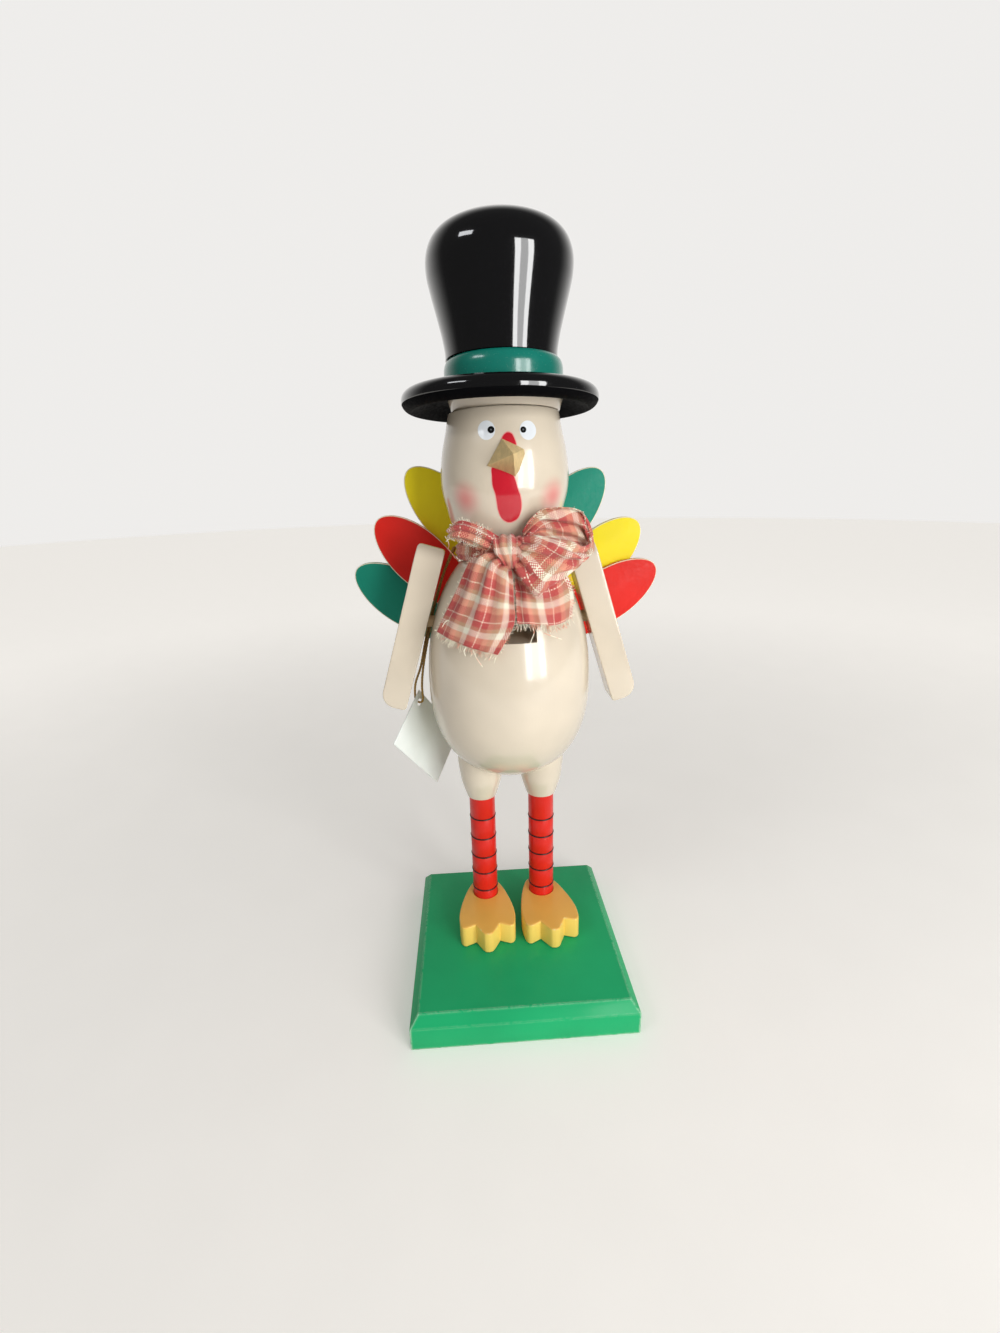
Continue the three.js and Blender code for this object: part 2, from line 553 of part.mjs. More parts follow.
// Rows of the bow's four lengths of cloth, in the board's frame: each starts inside the knot
const BOW = {
  bow_tail_left: [
    [[-5.3, -14.5, 195.3], [-3.6, -15, 193.8], [-1.8, -15.5, 192], [-0.3, -15, 190.1]],
    [[-13.8, -11, 193.8], [-9.2, -17, 192.8], [-5, -19, 190], [0.1, -18, 185.7]],
    [[-19.9, -8, 183.1], [-13.6, -15.5, 181.4], [-7.1, -19, 179.5], [0.1, -19.5, 177.5]],
    [[-25.5, -6, 172.4], [-18.1, -14.5, 170.8], [-9.7, -19.5, 168.9], [0, -21, 169.9]],
    [[-29.4, -6, 164.6], [-21.9, -14, 162.2], [-13.7, -19, 160], [-6.4, -22, 158.6]],
  ],
  bow_tail_right: [
    [[0.6, -14, 190], [1.4, -14, 189.9], [2.7, -14, 190.3], [3.9, -13.5, 191.3]],
    [[1.2, -14, 183.3], [6.3, -15, 182.1], [13.8, -12, 182.9], [21.3, -6, 186.1]],
    [[1.2, -16.5, 176.7], [7, -17.5, 175.4], [15.4, -14, 174.8], [24.6, -6, 177]],
    [[1.2, -18.5, 169.7], [8.2, -20, 169.2], [16.2, -16.5, 168], [23.5, -10, 169.4]],
  ],
  bow_loop_left: [
    [[-4.6, -14.8, 201.1], [-5.1, -15.8, 199.2], [-5.8, -15.4, 197.3], [-6.6, -14.2, 195.4]],
    [[-9.1, -14, 204], [-9.5, -15.6, 201.5], [-10.2, -15, 198.9], [-10.8, -13.6, 196.9]],
    [[-14.3, -12, 206.2], [-14.5, -13.3, 203.7], [-14.9, -12.6, 201.1], [-15.7, -11, 198.7]],
    [[-18.7, -9.5, 206.9], [-19.5, -10.6, 204.6], [-19.8, -10.2, 202.1], [-19.1, -9, 200]],
    [[-22, -6, 203.9], [-22.8, -6, 202.7], [-22.7, -6, 201.4], [-21.6, -6.2, 200.4]],
    [[-18.2, -5.2, 204.8], [-18.3, -4.8, 203], [-18.1, -5.4, 201.4], [-17.6, -6.4, 200.1]],
    [[-13.1, -8.2, 203.4], [-13.2, -8.2, 202], [-13.4, -8.4, 200.6], [-13.7, -8.8, 199.2]],
    [[-6.3, -11, 200.7], [-6.5, -11, 199.3], [-6.8, -11, 197.8], [-7.2, -11, 196.3]],
  ],
  bow_loop_right: [
    [[3.2, -17, 200.5], [3.3, -18.5, 198.4], [3, -18.5, 196.1], [2.2, -17.5, 193.6], [1.5, -16, 191.5]],
    [[7.6, -19.5, 201.1], [8, -22.5, 198.6], [7.5, -20, 194.9], [4.9, -21.5, 190], [2.9, -18.5, 186.9]],
    [[13, -20.5, 200.7], [14.1, -24, 197.7], [13, -20.5, 192.6], [10.2, -23, 186.5], [8.4, -19.5, 180]],
    [[19.4, -18, 199], [20.3, -22, 196.2], [19, -21, 192.1], [16.2, -21, 187.6], [12.8, -18, 183.1]],
    [[25.6, -13.5, 196.2], [26.2, -16, 194.3], [24.8, -16, 192.4], [23.3, -15, 190.3], [21.3, -14, 188]],
    [[30.4, -9, 198.1], [30.6, -10.5, 196.2], [29.3, -11, 194.2], [27.4, -11, 192.4], [24.8, -11.5, 190.3]],
    [[28.7, -9, 205.1], [29.8, -7, 201.7], [29.9, -6, 198.3], [28.4, -6, 195.1], [25.2, -7.5, 191.9]],
    [[26.1, -11, 209.2], [25.7, -8, 205.1], [25, -6.5, 201], [24.4, -6.5, 196.9], [22.5, -8, 192.9]],
    [[18.6, -13, 210.5], [18.5, -10, 206.6], [18.1, -8.5, 202.9], [17.5, -8.5, 199.3], [16.8, -9, 195.7]],
    [[12, -13.5, 210.4], [11.8, -11.5, 207.2], [11.7, -10.5, 204], [11.5, -10.5, 200.8], [11.4, -11, 197.6]],
    [[8, -12.8, 207.2], [8.1, -12.2, 204.8], [7.8, -12.2, 202.4], [7.6, -12.2, 200.2], [7.3, -12.2, 197.8]],
    [[4.5, -12.5, 202.3], [4.5, -12.5, 201.1], [4.4, -12.5, 199.9], [4.2, -12.5, 198.7], [4, -12.5, 197.5]],
  ],
};
const KNOT = { centre: [-1.5, -14.8, 195.6], halfSize: [5.3, 5.3, 6.3] };

// The knot: an oval bundle, wider at the top
function knotGeometry(grow = 0) {
  const [x, y, z] = KNOT.halfSize.map((half) => half + grow);
  const ball = new THREE.SphereGeometry(1, 16, 10).rotateX(Math.PI / 2);
  const points = ball.attributes.position;
  for (let i = 0; i < points.count; i += 1) {
    const taper = 1 + 0.2 * points.getZ(i);
    points.setXYZ(i, x * taper * points.getX(i), y * points.getY(i), z * points.getZ(i));
  }
  return ball.translate(...KNOT.centre);
}

function bow() {
  const ribbon = new THREE.TorusGeometry(RIBBON.halfWidth, RIBBON.thickness / 2, 8, 32)
    .scale(1, RIBBON.halfDepth / RIBBON.halfWidth, RIBBON.height / RIBBON.thickness);
  place(figure, "neck_ribbon", ribbon, PLAID).position.set(0, -RIBBON.forward, RIBBON.z);
  place(turkey, "bow_knot", knotGeometry(), PLAID);
  for (const [name, rows] of Object.entries(BOW)) {
    const cloth = sheet(rows, CLOTH_STEPS.across, CLOTH_STEPS.alongEachRow * (rows.length - 1));
    place(turkey, name, cut(cloth, [knotGeometry(GAP)]), PLAID);
  }
}

// Directions of the hanging card: across it, along it, and square to it
const cardNormal = new THREE.Vector3(Math.sin(radians(CARD_YAW)), -Math.cos(radians(CARD_YAW)), 0);
const cardLevel = new THREE.Vector3(Math.cos(radians(CARD_YAW)), Math.sin(radians(CARD_YAW)), 0);
const drop = radians(CARD_TURN);
const cardAcross = cardLevel.clone().multiplyScalar(-Math.sin(drop)).setZ(-Math.cos(drop));
const cardAlong = cardLevel.clone().multiplyScalar(Math.cos(drop)).setZ(-Math.sin(drop));
const cardHole = new THREE.Vector3(...CARD_CORNER)
  .addScaledVector(cardAcross, CARD.holeInset)
  .addScaledVector(cardAlong, CARD.holeInset);

function tagCard() {
  const outline = polygon([[0, 0], [CARD.width, 0], [CARD.width, CARD.height], [0, CARD.height]]);
  const hole = new THREE.Path().absarc(CARD.holeInset, CARD.holeInset, CARD.holeRadius, 0, 2 * Math.PI, true);
  outline.holes.push(hole);
  const sheetOfCard = new THREE.ExtrudeGeometry(outline, {
    depth: CARD.thickness, bevelEnabled: false, curveSegments: 12,
  });
  const mesh = place(turkey, "tag_card", sheetOfCard, CARD_WHITE);
  mesh.quaternion.setFromRotationMatrix(new THREE.Matrix4().makeBasis(cardAcross, cardAlong, cardNormal));
  mesh.position.set(...CARD_CORNER).addScaledVector(cardNormal, -CARD.thickness / 2);
}

// The cord leaves the neck ribbon, hangs between arm and body, turns through the card and goes back up
const CORD_DOWN = [[-21.6, 15.6, 195.6], [-24.2, 16.3, 190.3], [-26.6, 16.8, 184.6], [-31.7, 17, 169],
  [-35, 17, 156.3], [-38, 17, 142.8], [-39.3, 20, 133.5]];
const CORD_UP = [[-42.6, 23.4, 133.5], [-39.3, 20.4, 142.8], [-36, 19.6, 156.3], [-32.2, 19.8, 169],
  [-26.6, 19.8, 184.6], [-23.8, 19.3, 190.3], [-21, 18.8, 195.4]];

function tagCord() {
  const route = CORD_DOWN.map((point) => new THREE.Vector3(...point));
  for (let angle = 0; angle <= 180; angle += 30) {
    route.push(cardHole.clone()
      .addScaledVector(cardNormal, CORD_TURN_RADIUS * Math.cos(radians(angle)))
      .setZ(cardHole.z + CORD_TURN_RADIUS * (1 - Math.sin(radians(angle)))));
  }
  route.push(...CORD_UP.map((point) => new THREE.Vector3(...point)));
  const section = new THREE.Shape().absarc(0, 0, CORD_RADIUS, 0, 2 * Math.PI, false);
  const cord = new THREE.ExtrudeGeometry(section, {
    extrudePath: new THREE.CatmullRomCurve3(route), steps: 66, curveSegments: 4,
  });
  place(turkey, "tag_cord", cord, GOLD);
}

baseBoard();
for (const [name, side] of SIDES) {
  foot(name, side);
  footScrew(name, side);
  leg(name, side);
  thigh(name, side);
}
body();
lever();
head();
beak();
hatParts();
for (const [name, side] of SIDES) {
  arm(name, side);
}
FEATHERS.forEach(feather);
bow();
tagCard();
tagCord();

export default turkey;
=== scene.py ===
"""Looks of a turkey nutcracker figure: turned and cut-out painted wood, a plaid bow and a hang tag."""
import json
import math

import bmesh
import bpy
import numpy as np
from bpy.props import FloatProperty, FloatVectorProperty, IntProperty, PointerProperty
from mathutils import Matrix, Vector, noise


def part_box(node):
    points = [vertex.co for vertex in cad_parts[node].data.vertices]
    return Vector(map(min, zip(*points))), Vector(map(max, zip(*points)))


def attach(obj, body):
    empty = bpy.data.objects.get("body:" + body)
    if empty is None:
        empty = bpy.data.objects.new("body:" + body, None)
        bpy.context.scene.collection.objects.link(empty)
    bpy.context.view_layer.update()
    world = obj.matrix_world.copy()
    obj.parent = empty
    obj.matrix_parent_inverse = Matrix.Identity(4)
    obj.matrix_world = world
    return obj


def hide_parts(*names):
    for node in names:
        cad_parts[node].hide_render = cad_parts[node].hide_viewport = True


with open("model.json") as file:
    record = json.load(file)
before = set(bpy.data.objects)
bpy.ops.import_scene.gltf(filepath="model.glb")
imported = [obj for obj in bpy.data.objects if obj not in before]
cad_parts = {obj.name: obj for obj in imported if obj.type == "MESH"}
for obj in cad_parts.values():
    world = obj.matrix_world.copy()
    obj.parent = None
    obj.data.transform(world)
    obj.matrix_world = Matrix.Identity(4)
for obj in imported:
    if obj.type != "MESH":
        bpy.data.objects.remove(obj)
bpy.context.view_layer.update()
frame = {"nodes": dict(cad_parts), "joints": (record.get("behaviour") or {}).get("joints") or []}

bl_info = {
    "name": "Turkey Nutcracker",
    "version": (1, 0, 0),
    "blender": (4, 5, 0),
    "location": "3D View > Sidebar > Turkey",
    "description": "Makes the painted pieces, the bow and the tag of a wooden turkey nutcracker",
    "category": "Object",
}

MM = 0.001
FIGURE = "figure"
LEVER = "lever"


def middle(node):
    """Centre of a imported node's box, in millimetres."""
    low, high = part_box(node)
    return [(a + b) / 2 / MM for a, b in zip(low, high)]


def low_and_high(node, axis):
    """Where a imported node's box begins and ends along an axis, in millimetres."""
    low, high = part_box(node)
    return low[axis] / MM, high[axis] / MM


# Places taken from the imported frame, in millimetres
LEG_X = middle("leg_right")[0]
AXIS_Y = middle("leg_right")[1]
BOARD_HALF = low_and_high("base_board", 0)[1]
BOARD_TOP = low_and_high("base_board", 2)[1]
LEG_BOTTOM, LEG_TOP = low_and_high("leg_left", 2)
PIVOT_Y, PIVOT_Z = [value / MM for value in frame["joints"][0]["pos_m"]][1:]
TURN_SIDES = 144

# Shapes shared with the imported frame, in millimetres
GAP = 0.3
BOARD_EDGE, BOARD_BEVEL = 10.5, 3.5
BODY_RADIUS, BODY_MIDDLE, BODY_TOP = 35.3, 139, 192
BODY_BELOW, BODY_ABOVE = (44, 2.35), (60, 2.05)
SLOT = [(-44, 161.7), (-1.6, 161.7), (12, 142), (24, 122), (28, 106), (56, 106), (56, 156), (10.5, 177.5),
        (4, 184.5), (-44, 184.5)]
SLOT_HALF_WIDTH = 8.9
LEVER_WIDTH = 17.2
TAIL_SEAT_Y, TAIL_SEAT_BOTTOM = 24, 142
SHOULDER_Y, SHOULDER_Z, SHOULDER_INNER = -1, 165, 21.7
HIP_BOTTOM, HIP_TOP = 92, 108.3
NECK_BOTTOM, NECK_TOP = 187, 206.3
BEYOND, BEHIND = 60, 90  # further out than the body's sides and its back
SCREW_HOLE, SCREW_HEAD_HOLE, SCREW_HEAD_TOP = 2.2, 4, 4
PIN_HOLE, SHOULDER_HOLE, DOWEL_HOLE, NECK_HOLE = 2.3, 2.8, 4.3, 5.3
HAT_Z = 246.2
SIDES = (("left", -1), ("right", 1))
HAT_DOWEL_DOWN, HAT_DOWEL_UP = 11.3, 24.3
HEAD_PROFILE = [(14, 194), (16, 196), (18, 198), (19.6, 200), (22.4, 206), (23.7, 211), (25.2, 217), (25.6, 222.6),
                (25.1, 228.4), (24.2, 233.8), (22.9, 239.2), (22.2, 242.8), (21.6, 245.9)]


def srgb(red, green, blue):
    """A colour as it is seen, from 0 to 255, as the linear colour that a shader takes."""
    def linear(value):
        value /= 255
        return value / 12.92 if value <= 0.04045 else ((value + 0.055) / 1.055) ** 2.4
    return (linear(red), linear(green), linear(blue))


def paint_property(name, description, colour):
    """A colour of one of the pieces."""
    return FloatVectorProperty(name=name, description=description, subtype="COLOR", size=3, min=0, max=1,
                               default=colour)


def length_property(name, description, value):
    """A length in metres."""
    return FloatProperty(name=name, description=description, default=value, min=0, unit="LENGTH")


class TurkeyPaints(bpy.types.PropertyGroup):
    """Colours of the painted and the bare wood"""
    cream: paint_property("Cream", "Gloss paint of the body, head, arms and thighs", srgb(226, 213, 192))
    green: paint_property("Board Green", "Paint of the base board", srgb(34, 176, 112))
    red: paint_property("Leg Red", "Paint of the legs", srgb(222, 36, 24))
    orange: paint_property("Foot Orange", "Paint of the feet", srgb(250, 194, 92))
    black: paint_property("Hat Black", "Paint of the hat", srgb(9, 9, 11))
    band: paint_property("Band Green", "Paint of the hat's band", srgb(12, 124, 108))
    feather_green: paint_property("Feather Green", "Paint of the green feathers", srgb(24, 142, 118))
    feather_red: paint_property("Feather Red", "Paint of the red feathers", srgb(228, 38, 28))
    feather_yellow: paint_property("Feather Yellow", "Paint of the yellow feathers", srgb(246, 226, 30))
    wattle: paint_property("Wattle Red", "Paint of the wattle and the snood", srgb(205, 25, 45))
    blush: paint_property("Blush", "Soft pink of the cheeks", srgb(232, 130, 124))
    bare_wood: paint_property("Bare Wood", "Unpainted wood", srgb(234, 206, 148))


class TurkeyCloth(bpy.types.PropertyGroup):
    """Colours and weave of the bow's cloth"""
    rose: paint_property("Rose", "Darkest band of the plaid", srgb(206, 82, 78))
    salmon: paint_property("Salmon", "Middle band of the plaid", srgb(242, 164, 136))
    tan: paint_property("Tan", "Brown band of the plaid", srgb(204, 158, 124))
    cream: paint_property("Natural", "Palest band of the plaid", srgb(255, 248, 226))
    thickness: length_property("Cloth Thickness", "Thickness of the homespun", 0.00045)
    thread: length_property("Thread Pitch", "Distance from one thread to the next", 0.00052)
    repeat: length_property("Plaid Repeat", "Width of one repeat of the plaid", 0.0148)
    fringe: length_property("Fringe Length", "How far the frayed threads stand out", 0.0019)


class TurkeyTag(bpy.types.PropertyGroup):
    """Card and cord of the tag"""
    card: paint_property("Card", "Colour of the tag", srgb(246, 252, 248))
    gold: paint_property("Cord Gold", "Colour of the tag's cord", srgb(178, 140, 74))
    cord_diameter: length_property("Cord Diameter", "Thickness of the tag's cord", 0.0011)
    cord_twist: length_property("Cord Twist", "Length of one turn of the cord's strands", 0.0034)


class TurkeyStudio(bpy.types.PropertyGroup):
    """Floor and light of the studio"""
    floor: paint_property("Floor", "Colour of the floor", srgb(242, 239, 234))
    key_power: FloatProperty(name="Window", description="Power of the tall window on the right", default=5.1, min=0,
                             unit="POWER")
    fill_power: FloatProperty(name="Fill Lamp", description="Power of the lamp on the left", default=0.8, min=0,
                              unit="POWER")
    sky: FloatProperty(name="Room Light", description="Strength of the even light", default=0.27, min=0)
    backdrop: FloatProperty(name="Backdrop", description="How bright the backdrop is seen", default=0.86, min=0)
    room: FloatProperty(name="Room", description="How bright the room in front shows in shiny things", default=0.08,
                        min=0)
    sides: IntProperty(name="Floor Sides", description="Corners of the round floor", default=64, min=8)


# Shader tools

def add(tree, kind, inputs=None, **settings):
    """Adds a node; an input's value is a number, a colour or another node's output."""
    node = tree.nodes.new(kind)
    for key, value in settings.items():
        setattr(node, key, value)
    for key, value in (inputs or {}).items():
        if isinstance(value, bpy.types.NodeSocket):
            tree.links.new(value, node.inputs[key])
        else:
            node.inputs[key].default_value = value
    return node


def rgba(colour, factor=1.0):
    """A colour with an alpha, made lighter or darker by a factor."""
    return (*[min(1.0, channel * factor) for channel in colour], 1.0)


def new_material(name):
    """A material with its node tree and its one shader."""
    material = bpy.data.materials.new(name)
    material.use_nodes = True
    shader = material.node_tree.nodes["Principled BSDF"]
    return material, material.node_tree, shader


def noise_value(tree, vector, scale, detail=3.0, roughness=0.5):
    """Noise from 0 to 1 whose scale is in bumps a metre."""
    node = add(tree, "ShaderNodeTexNoise", {"Vector": vector, "Scale": scale, "Detail": detail,
                                            "Roughness": roughness})
    return node.outputs["Fac"]


def math_value(tree, operation, first, second=0.0, third=None, clamp=False):
    """One step of arithmetic on numbers or outputs."""
    inputs = {0: first, 1: second}
    if third is not None:
        inputs[2] = third
    return add(tree, "ShaderNodeMath", inputs, operation=operation, use_clamp=clamp).outputs[0]


def range_value(tree, value, low, high, new_low=0.0, new_high=1.0, smooth=False):
    """A value moved from one range to another, and held inside it."""
    kind = "SMOOTHSTEP" if smooth else "LINEAR"
    node = add(tree, "ShaderNodeMapRange", {"Value": value, "From Min": low, "From Max": high, "To Min": new_low,
                                            "To Max": new_high}, interpolation_type=kind, clamp=True)
    return node.outputs["Result"]


def mix_colour(tree, factor, first, second, blend="MIX"):
    """The first colour at factor 0, the second at 1."""
    return add(tree, "ShaderNodeMix", {0: factor, 6: first, 7: second}, data_type="RGBA",
               blend_type=blend).outputs[2]


def object_coordinates(tree):
    """Metres from the object's origin, which all pieces share."""
    return add(tree, "ShaderNodeTexCoord").outputs["Object"]


def finish_paint(tree, shader, tone, roughness, height, strength, depth):
    """Connects the colour, the roughness and the relief of a surface."""
    bump = add(tree, "ShaderNodeBump", {"Height": height, "Strength": strength, "Distance": depth})
    tree.links.new(bump.outputs["Normal"], shader.inputs["Normal"])
    finish_plain(tree, shader, tone, roughness)


def finish_plain(tree, shader, tone, roughness):
    """Connects the colour and the roughness of a surface; the roughness can be a plain number."""
    tree.links.new(tone, shader.inputs["Base Color"])
    if isinstance(roughness, bpy.types.NodeSocket):
        tree.links.new(roughness, shader.inputs["Roughness"])
    else:
        shader.inputs["Roughness"].default_value = roughness


def set_shader(material, values):
    """Sets plain numbers on a material's shader, and returns the material."""
    for name, value in values.items():
        material.node_tree.nodes["Principled BSDF"].inputs[name].default_value = value
    return material


def edge_mask(tree, radius, low, high):
    """1 on sharp edges, 0 on flat faces: how far a rounded normal turns away from the true one."""
    rounded = add(tree, "ShaderNodeBevel", {"Radius": radius}, samples=6).outputs["Normal"]
    true_normal = add(tree, "ShaderNodeNewGeometry").outputs["Normal"]
    turn = add(tree, "ShaderNodeVectorMath", {0: rounded, 1: true_normal}, operation="DOT_PRODUCT")
    bend = math_value(tree, "SUBTRACT", 1.0, turn.outputs["Value"])
    return range_value(tree, bend, low, high)


def rim_mask(tree, axis):
    """1 on the rounded edges of a board whose face looks along the axis, 0 on its faces and its walls."""
    normal = add(tree, "ShaderNodeNewGeometry").outputs["Normal"]
    part = add(tree, "ShaderNodeSeparateXYZ", {0: normal}).outputs[axis]
    facing = math_value(tree, "ABSOLUTE", part)
    return math_value(tree, "MULTIPLY", range_value(tree, facing, 0.05, 0.4),
                      range_value(tree, facing, 0.86, 0.99, 1.0, 0.0))


def paint_material(name, colour, gloss=0.25, coat=0.5, wear=0.0, worn_colour=None, grain=0.00006, extra=None,
                   rim=None, specked=0.08, specular=0.5, edge_width=0.0013, coat_gloss=0.08, coat_ior=1.5):
    """Painted wood: slow changes of tone, small specks, faint grain, and paint rubbed off the edges."""
    material, tree, shader = new_material(name)
    place = object_coordinates(tree)
    broad = noise_value(tree, place, 38.0, 2.0)
    fine = noise_value(tree, place, 900.0, 4.0)
    tone = mix_colour(tree, range_value(tree, broad, 0.3, 0.7), rgba(colour, 0.93), rgba(colour, 1.05))
    specks = range_value(tree, noise_value(tree, place, 1500.0, 1.0), 0.72, 0.78)
    tone = mix_colour(tree, math_value(tree, "MULTIPLY", specks, specked), tone, rgba(colour, 0.62))
    if extra:
        tone = extra(tree, place, tone)
    roughness = range_value(tree, fine, 0.3, 0.7, gloss * 0.8, gloss * 1.3)
    if wear:
        worn = worn_colour or tuple(0.5 * channel + 0.5 * wood for channel, wood in zip(colour, srgb(232, 210, 170)))
        ragged = noise_value(tree, place, 520.0, 5.0, 0.65)
        edge = rim_mask(tree, rim) if rim is not None else edge_mask(tree, edge_width, 0.006, 0.09)
        rubbed = math_value(tree, "MULTIPLY", edge, range_value(tree, ragged, 0.6 - 0.3 * wear, 0.7 - 0.3 * wear))
        tone = mix_colour(tree, rubbed, tone, rgba(worn))
        roughness = math_value(tree, "MULTIPLY_ADD", rubbed, 0.35, roughness, clamp=True)
    grain_stretch = add(tree, "ShaderNodeMapping", {"Vector": place, "Scale": (1.0, 1.0, 0.08)}).outputs["Vector"]
    lines = noise_value(tree, grain_stretch, 1400.0, 3.0)
    height = math_value(tree, "MULTIPLY_ADD", lines, 0.6, broad)
    finish_paint(tree, shader, tone, roughness, height, 0.5, grain)
    return set_shader(material, {"Specular IOR Level": specular, "Coat Weight": coat,
                                 "Coat Roughness": coat_gloss, "Coat IOR": coat_ior})


def wood_material(name, colour, along=(1.0, 1.0, 0.06)):
    """Bare wood: long grain lines, pores and a dry surface."""
    material, tree, shader = new_material(name)
    place = object_coordinates(tree)
    stretched = add(tree, "ShaderNodeMapping", {"Vector": place, "Scale": along}).outputs["Vector"]
    rings = noise_value(tree, stretched, 420.0, 4.0, 0.6)
    pores = noise_value(tree, stretched, 2600.0, 2.0)
    tone = mix_colour(tree, range_value(tree, rings, 0.3, 0.7), rgba(colour, 0.84), rgba(colour, 1.08))
    tone = mix_colour(tree, range_value(tree, pores, 0.6, 0.78, 0.0, 0.25), tone, rgba(colour, 0.6))
    roughness = range_value(tree, pores, 0.3, 0.7, 0.5, 0.7)
    finish_paint(tree, shader, tone, roughness, rings, 0.6, 0.00008)
    return material


def steel_material():
    """Plain steel with fine scratches."""
    material, tree, shader = new_material("Plain Steel")
    place = object_coordinates(tree)
    scratches = noise_value(tree, place, 1800.0, 4.0)
    tone = mix_colour(tree, scratches, rgba(srgb(150, 150, 154)), rgba(srgb(200, 200, 204)))
    finish_plain(tree, shader, tone, range_value(tree, scratches, 0.3, 0.7, 0.25, 0.45))
    return set_shader(material, {"Metallic": 1.0})


def plaid_bands(tree, value, bands):
    """A repeating row of colours across one direction of the cloth; bands are (start, colour)."""
    ramp = add(tree, "ShaderNodeValToRGB", {"Fac": math_value(tree, "FRACT", value)})
    ramp.color_ramp.interpolation = "CONSTANT"
    elements = ramp.color_ramp.elements
    elements[0].position, elements[0].color = 0.0, rgba(bands[0][1])
    elements[1].position, elements[1].color = bands[1][0], rgba(bands[1][1])
    for start, colour in bands[2:]:
        elements.new(start).color = rgba(colour)
    return ramp.outputs["Color"]


def plaid_material(cloth):
    """Homespun: coloured warp and weft that cross one over the other, with raised, uneven threads and painted shade in
    the dips between them.
    """
    material, tree, shader = new_material("Plaid Homespun")
    flat = add(tree, "ShaderNodeUVMap", uv_map="Flat").outputs["UV"]
    wander = add(tree, "ShaderNodeTexNoise", {"Vector": flat, "Scale": 160.0, "Detail": 2.0})
    shift = add(tree, "ShaderNodeVectorMath", {0: wander.outputs["Color"], 1: (0.5, 0.5, 0.5)}, operation="SUBTRACT")
    small = add(tree, "ShaderNodeVectorMath", {0: shift.outputs["Vector"], "Scale": 0.0007}, operation="SCALE")
    moved = add(tree, "ShaderNodeVectorMath", {0: flat, 1: small.outputs["Vector"]}, operation="ADD")
    split = add(tree, "ShaderNodeSeparateXYZ", {0: moved.outputs["Vector"]})
    across, along = split.outputs["X"], split.outputs["Y"]
    rose, salmon, tan, cream = cloth.rose, cloth.salmon, cloth.tan, cloth.cream
    line = tuple(0.75 * natural + 0.25 * pink for natural, pink in zip(cream, salmon))
    warp_bands = [(0.0, rose), (0.09, line), (0.125, rose), (0.31, salmon), (0.48, tan), (0.66, cream), (0.84, rose)]
    weft_bands = [(0.0, rose), (0.12, line), (0.16, rose), (0.34, tan), (0.46, cream), (0.66, salmon), (0.86, rose)]
    warp = plaid_bands(tree, math_value(tree, "DIVIDE", across, cloth.repeat), warp_bands)
    weft = plaid_bands(tree, math_value(tree, "DIVIDE", along, cloth.repeat * 0.85), weft_bands)
    turn = math.pi / cloth.thread
    over = math_value(tree, "SINE", math_value(tree, "MULTIPLY", across, turn))
    under = math_value(tree, "SINE", math_value(tree, "MULTIPLY", along, turn))
    weave = math_value(tree, "MULTIPLY", over, under)
    which = range_value(tree, weave, -0.35, 0.35)
    tone = mix_colour(tree, which, warp, weft)
    lint = noise_value(tree, flat, 2400.0, 3.0)
    tone = mix_colour(tree, range_value(tree, lint, 0.5, 0.85, 0.0, 0.22), tone, rgba(cream))
    ridge = math_value(tree, "ABSOLUTE", weave)
    # painted shade: the colour is darkened where the weave dips between the raised threads
    valley_shade = range_value(tree, ridge, 0.0, 0.25, 0.72, 1.0)
    shaded = mix_colour(tree, 1.0, tone, valley_shade, blend="MULTIPLY")
    height = math_value(tree, "MULTIPLY_ADD", lint, 0.5, ridge)
    finish_paint(tree, shader, shaded, 0.9, height, 0.8, 0.00012)
    return set_shader(material, {"Sheen Weight": 0.25, "Sheen Roughness": 0.5})


def thread_material(cloth):
    """Loose threads, pink in places and pale in others."""
    material, tree, shader = new_material("Frayed Thread")
    place = object_coordinates(tree)
    patch = noise_value(tree, place, 260.0, 1.0)
    tone = mix_colour(tree, range_value(tree, patch, 0.36, 0.5), rgba(cloth.salmon), rgba(cloth.cream))
    finish_plain(tree, shader, tone, range_value(tree, patch, 0.3, 0.7, 0.8, 0.95))
    return material


def card_material(tag):
    """Matt card: soft mottling and fibres."""
    material, tree, shader = new_material("Tag Card")
    place = object_coordinates(tree)
    mottle = noise_value(tree, place, 160.0, 4.0)
    fibre = noise_value(tree, place, 2200.0, 5.0, 0.7)
    tone = mix_colour(tree, mottle, rgba(tag.card, 0.95), rgba(tag.card, 1.03))
    tone = mix_colour(tree, range_value(tree, fibre, 0.62, 0.75, 0.0, 0.25), tone, rgba(tag.card, 0.8))
    roughness = range_value(tree, fibre, 0.3, 0.7, 0.7, 0.85)
    finish_paint(tree, shader, tone, roughness, fibre, 0.35, 0.00004)
    return material


def cord_material(tag):
    """Metallic yarn, its strands dark and bright by turns."""
    material, tree, shader = new_material("Gold Cord")
    place = object_coordinates(tree)
    strand = noise_value(tree, place, 1700.0, 3.0)
    tone = mix_colour(tree, range_value(tree, strand, 0.35, 0.65), rgba(tag.gold, 0.62),
                      rgba(tag.gold, 1.25))
    finish_plain(tree, shader, tone, range_value(tree, strand, 0.3, 0.7, 0.32, 0.55))
    return set_shader(material, {"Metallic": 0.35})


# Mesh tools

def new_object(name, mesh, *materials):
    """An object at the origin that holds the mesh."""
    made = bpy.data.objects.new(name, mesh)
    bpy.context.scene.collection.objects.link(made)
    for material in materials:
        made.data.materials.append(material)
    return made


def from_shape(name, shape, *materials, place=None):
    """An object made of a bmesh, which is freed."""
    mesh = bpy.data.meshes.new(name)
    shape.to_mesh(mesh)
    shape.free()
    if place:
        mesh.transform(place)
    return new_object(name, mesh, *materials)


